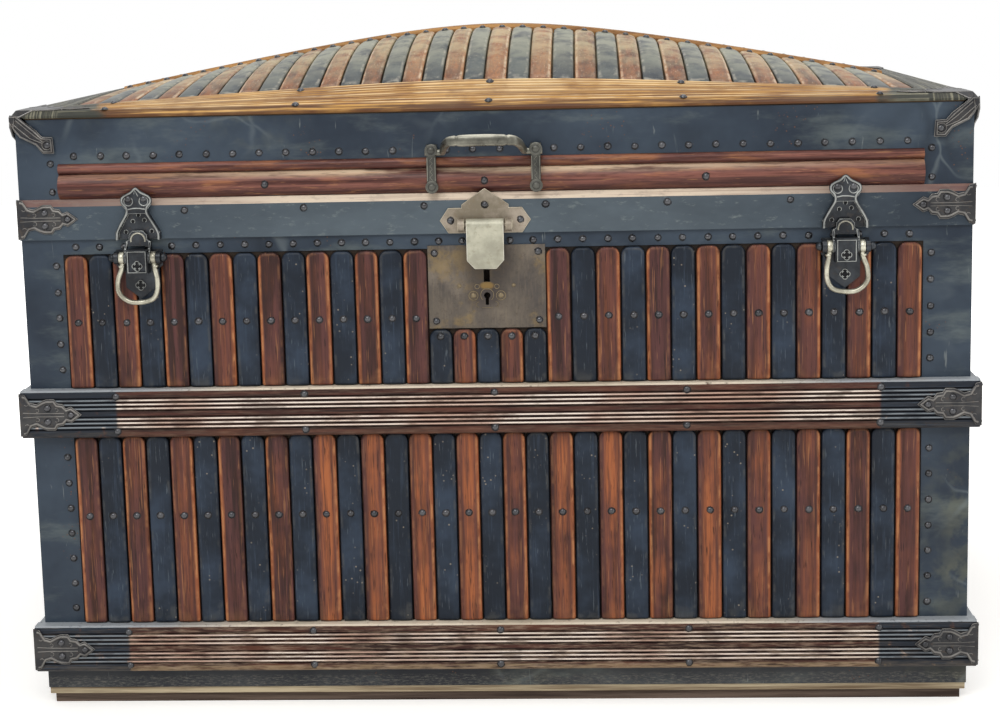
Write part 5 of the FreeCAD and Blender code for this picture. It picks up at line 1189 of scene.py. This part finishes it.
def upright_slats(node, material, slot, seed):
    """Slats standing on the case: each takes the width, height and place of one solid of the node."""
    dice = random.Random(seed)
    pieces = []
    for low, high in islands(node):
        tone = dice.random()
        length, base = high.z - low.z, low.z
        if "front" in node:
            width, thick, centre, face = high.x - low.x, high.y - low.y, (low.x + high.x) / 2, high.y
            place = lambda u, v, h, c=centre, f=face, b=base: (c + u, f - h, b + v)
        else:
            width, thick, centre = high.y - low.y, high.x - low.x, (low.y + high.y) / 2
            side = 1 if low.x > 0 else -1
            face = low.x if side > 0 else high.x
            place = lambda u, v, h, c=centre, f=face, b=base, s=side: (f + s * h, c + s * u, b + v)
        pieces.append((*slat_grid(width, length, thick, (2.5 * MM, 8 * MM), 5, tone), place))
    slats(node, "case", material, slot, pieces)


def dome(x, y):
    """Height of the lid's outer surface."""
    along = (ROUND - math.hypot(min(abs(x) / HALF_X, 1), SHARP)) / (ROUND - SHARP)
    across = 1 - min(abs(y) / HALF_Y, 1) ** 2
    return EDGE_Z + RISE * along * across


def dome_slats(node, material, slot, seed):
    """Slats lying over the dome, from its edge towards the ridge."""
    dice = random.Random(seed)
    pieces = []
    for low, high in islands(node):
        tone = dice.random()
        width, centre, length = high.x - low.x, (low.x + high.x) / 2, high.y - low.y
        side = 1 if low.y > 0 else -1
        start = high.y if side > 0 else low.y

        def place(u, v, h, c=centre, s=start, d=side, w=width):
            x, y = c + u, s - d * v
            left, right = dome(c - w / 2, y), dome(c + w / 2, y)
            return (x, y, left + (right - left) * (u / w + 0.5) + SEAT + h)

        rows, marks = slat_grid(width, length, 6 * MM, (1.5 * MM, 8.5 * MM), 12, tone)
        if side > 0:
            rows = [[(-u, v, h) for u, v, h in row] for row in rows]
        pieces.append((rows, marks, place))
    slats(node, "lid", material, slot, pieces)


# ---------------------------------------------------------------- stage and light


def seen_rays(tree):
    """A socket that is 1 where a camera, glossy or transmission ray arrives."""
    path = tree.nodes.new("ShaderNodeLightPath")
    total = path.outputs["Is Camera Ray"]
    for name in ("Is Glossy Ray", "Is Transmission Ray"):
        add = tree.nodes.new("ShaderNodeMath")
        add.operation, add.use_clamp = "ADD", True
        tree.links.new(total, add.inputs[0])
        tree.links.new(path.outputs[name], add.inputs[1])
        total = add.outputs[0]
    return total


def floor_white():
    """Plain under the lamps, so that the trunk's shadow stays. White is added where a camera, glossy or
    transmission ray arrives: a part near the trunk, where its shadow shows, and all of it further off."""
    look = Look("floor_white", 0.9)
    shade = look.mix(look.noise(0.7, 2).step(0.2, 0.8), "e9e7e2", "f2f0ec")
    far = look.feed(look.node("ShaderNodeVectorMath", operation="LENGTH"), ((0, look.spot),), "Value")
    glow = Value(look, seen_rays(look.tree)) * far.step(0.6, 1.3, 0.42, 1.0)
    look.put("ffffff", look.shader.inputs["Emission Color"])
    look.put(glow, look.shader.inputs["Emission Strength"])
    return look.done(shade, None)


def stage():
    """The floor and the white world round it, which lights the trunk less than it shows."""
    mesh = bpy.data.meshes.new("floor")
    mesh.from_pydata([(x * FLOOR, y * FLOOR, 0) for x, y in ((-1, -1), (1, -1), (1, 1), (-1, 1))], [], [(0, 1, 2, 3)])
    mesh.materials.append(floor_white())
    add_object("floor", mesh)
    world = bpy.data.worlds.new("studio")
    bpy.context.scene.world = world
    world.use_nodes = True
    tree = world.node_tree
    back = tree.nodes["Background"]
    scale = tree.nodes.new("ShaderNodeMapRange")
    tree.links.new(seen_rays(tree), scale.inputs[0])
    scale.inputs[3].default_value, scale.inputs[4].default_value = 0.55, 1.0
    tree.links.new(scale.outputs[0], back.inputs["Strength"])
    back.inputs["Color"].default_value = (1, 1, 1, 1)


def lamp(name, at, aim, wide, tall, power):
    data = bpy.data.lights.new(name, "AREA")
    data.shape, data.size, data.size_y, data.energy = "RECTANGLE", wide, tall, power
    obj = add_object(name, data)
    obj.location = at
    obj.rotation_euler = (Vector(aim) - Vector(at)).to_track_quat("-Z", "Y").to_euler()


def lights():
    lamp("key", (-0.5, -2.1, 2.3), (0, -0.1, 0.35), 2.0, 1.2, 34)
    lamp("top", (0.2, 0.3, 2.9), (0, 0, 0.5), 2.4, 1.6, 26)
    lamp("side", (2.6, -1.0, 1.3), (0.2, 0, 0.4), 1.2, 1.6, 12)


# ---------------------------------------------------------------- build
def paint(material, *names):
    """Gives CAD nodes that are shown as they are their material."""
    for name in names:
        mesh = NODES[name].data
        mesh.materials.clear()
        mesh.materials.append(material)


camera()
stage()
lights()

BROWN = brown_slat("slat_brown_upright", "z", "301d1b", "573634", "a8623c", "c58a5c", 0.26, 0.85)
BLACK = black_slat("slat_black_upright", "z", "131b26", "344050", "5d5c58", 0.6)
BROWN_TOP = brown_slat("slat_brown_dome", "y", "4e2d1f", "7c4a2c", "a86a3c", "d8c8ae", 0.6)
BLACK_TOP = black_slat("slat_black_dome", "y", "262d35", "545a59", "cfc6b2", 0.5)
upright_slats("front_slats_brown", BROWN, "brown_slat", 3)
upright_slats("front_slats_black", BLACK, "black_slat", 4)
upright_slats("end_slats_brown", BROWN, "brown_slat", 5)
upright_slats("end_slats_black", BLACK, "black_slat", 6)
dome_slats("dome_slats_brown", BROWN_TOP, "brown_slat", 7)
dome_slats("dome_slats_black", BLACK_TOP, "black_slat", 8)

paint(rail_wood("rail_mid_wood", MID_RAIL_Z, "6a4a3a", 0.4, 0.12), "mid_rails")
paint(rail_wood("rail_low_wood", LOW_RAIL_Z, "9c8668", 0.7, 0.45), "bottom_rails")
paint(top_rail_wood("rail_top_wood"), "top_rails")
paint(board("rail_ridge_wood", "b08350", "6a4628"), "ridge_rail")
paint(
    black_sheet("sheet_black"),
    "lid_metal_bands", "lid_corner_bindings", "body_corner_bindings", "body_top_bindings",
)
paint(black_sheet("sheet_plinth", "282b31", "45474a", scuff=0.4, dirt=0.030), "plinth_bands")
paint(valance_paint("valance_slate"), "lid_valances")
paint(moulding_wood("moulding_mahogany"), "lid_mouldings")
# the case boards are stained near black; the darkness also stands in for painted shade between and behind the slats
paint(board("case_board", "33281f", "1a1410"), "front_board", "back_board", "end_boards")
paint(board("bottom_board_worn", "cbbb9c", "74624c"), "bottom_board")
paint(board("lid_board", "7d6447", "4f3c2a"), "lid_front_board", "lid_back_board", "lid_end_boards", "dome_shell")
paint(board("skid_wood_rough", "6f5f54", "3a2e28"), "floor_skids")
paint(board("tray_pine", "b7a283", "8a7352"), "tray_bottom", "tray_walls", "tray_dividers", "tray_runners")
paint(paper("lining_paper"), "body_lining", "lid_lining")

CLAMP = iron("clamp_pressed_iron", "222327", "3d3c3c", "4f3f30", 0.36, 0.5, "94908a", 0.6)
for node in ("rail_clamps", "lid_corner_clamps", "top_corner_caps"):
    softened(node, CLAMP, "clamp_iron", 0.5 * MM)
clamp_scrolls("rail_clamps", "case", CLAMP)
clamp_scrolls("lid_corner_clamps", "lid", CLAMP)
cap_scrolls(CLAMP)
NAIL = iron("nail_iron", "17181a", "2c2d2f", "2a2520", 0.24, 0.8, "77777a", 0.4)
nails("body_rivets", "case", NAIL, 11)
nails("lid_rivets", "lid", NAIL, 12)
softened("lock_plate", bronze_plate("lock_bronze"), "aged_brass", 0.25 * MM)
lock_details(iron("lock_detail_brass", "3d352c", "6e6049", "54452f", 0.36, 0.6, "94866a", 0.35))
ZINC = iron("hasp_pale_zinc", "9a9786", "bdbaa6", "837c68", 0.42, 0.3, "e2dfd0", 0.8)
softened("hasp", ZINC, "hasp_zinc", 0.7 * MM, 0.93)
softened("hasp_plate", iron("hasp_plate_brass", "756b5a", "a5998a", "7a6850", 0.44, 0.35, "d6cdb4", 0.7), "hasp_zinc")
lid_handle(iron("handle_cast", "3c3b35", "706e63", "3a342b", 0.3, 0.6, "d2cfbd", 0.75))
handle_posts(iron("post_cast", "1e1f1d", "3a3a36", "332c24", 0.36, 0.4, "a6a496", 0.5))
LATCH = iron("latch_iron", "15181d", "363a3f", "453b33", 0.32, 0.55, "a6a8a4", 0.85)
paint(LATCH, "latch_bases")
for node in ("latch_keepers", "latch_lever_left", "latch_lever_right"):
    softened(node, LATCH, "clamp_iron")
# the holes' material is near black, as painted shade
latch_details(
    LATCH, iron("latch_hole_shade", "08090b", "121317", "16110e", 0.6, 0.0),
    iron("latch_bail_steel", "8f8b7c", "c9c6b4", "6d624f", 0.3, 0.7),
    iron("latch_rim_worn", "5e5c55", "8f8c80", "4a4136", 0.36, 0.5, "bab6a6", 0.7),
)
paint(
    iron("screw_iron", "222325", "454548", "4b3a2e", 0.4, 0.5),
    "lock_case", "lock_bolt", "hinge_pins", "left_handle_pins", "right_handle_pins",
)
HINGE = iron("hinge_wrought", "2c2c2e", "4c4a48", "5f4736", 0.45, 0.4, "8f897c", 0.7)
for node in (*HINGE_LEAVES, "side_handle_loops"):
    softened(node, HINGE, "hinge_iron")
hinge_rivets(NAIL)
leather_handles(leather("handle_harness_leather"))
pull_tapes(tape("pull_cotton_tape"))

bpy.context.scene.view_settings.view_transform = "Standard"
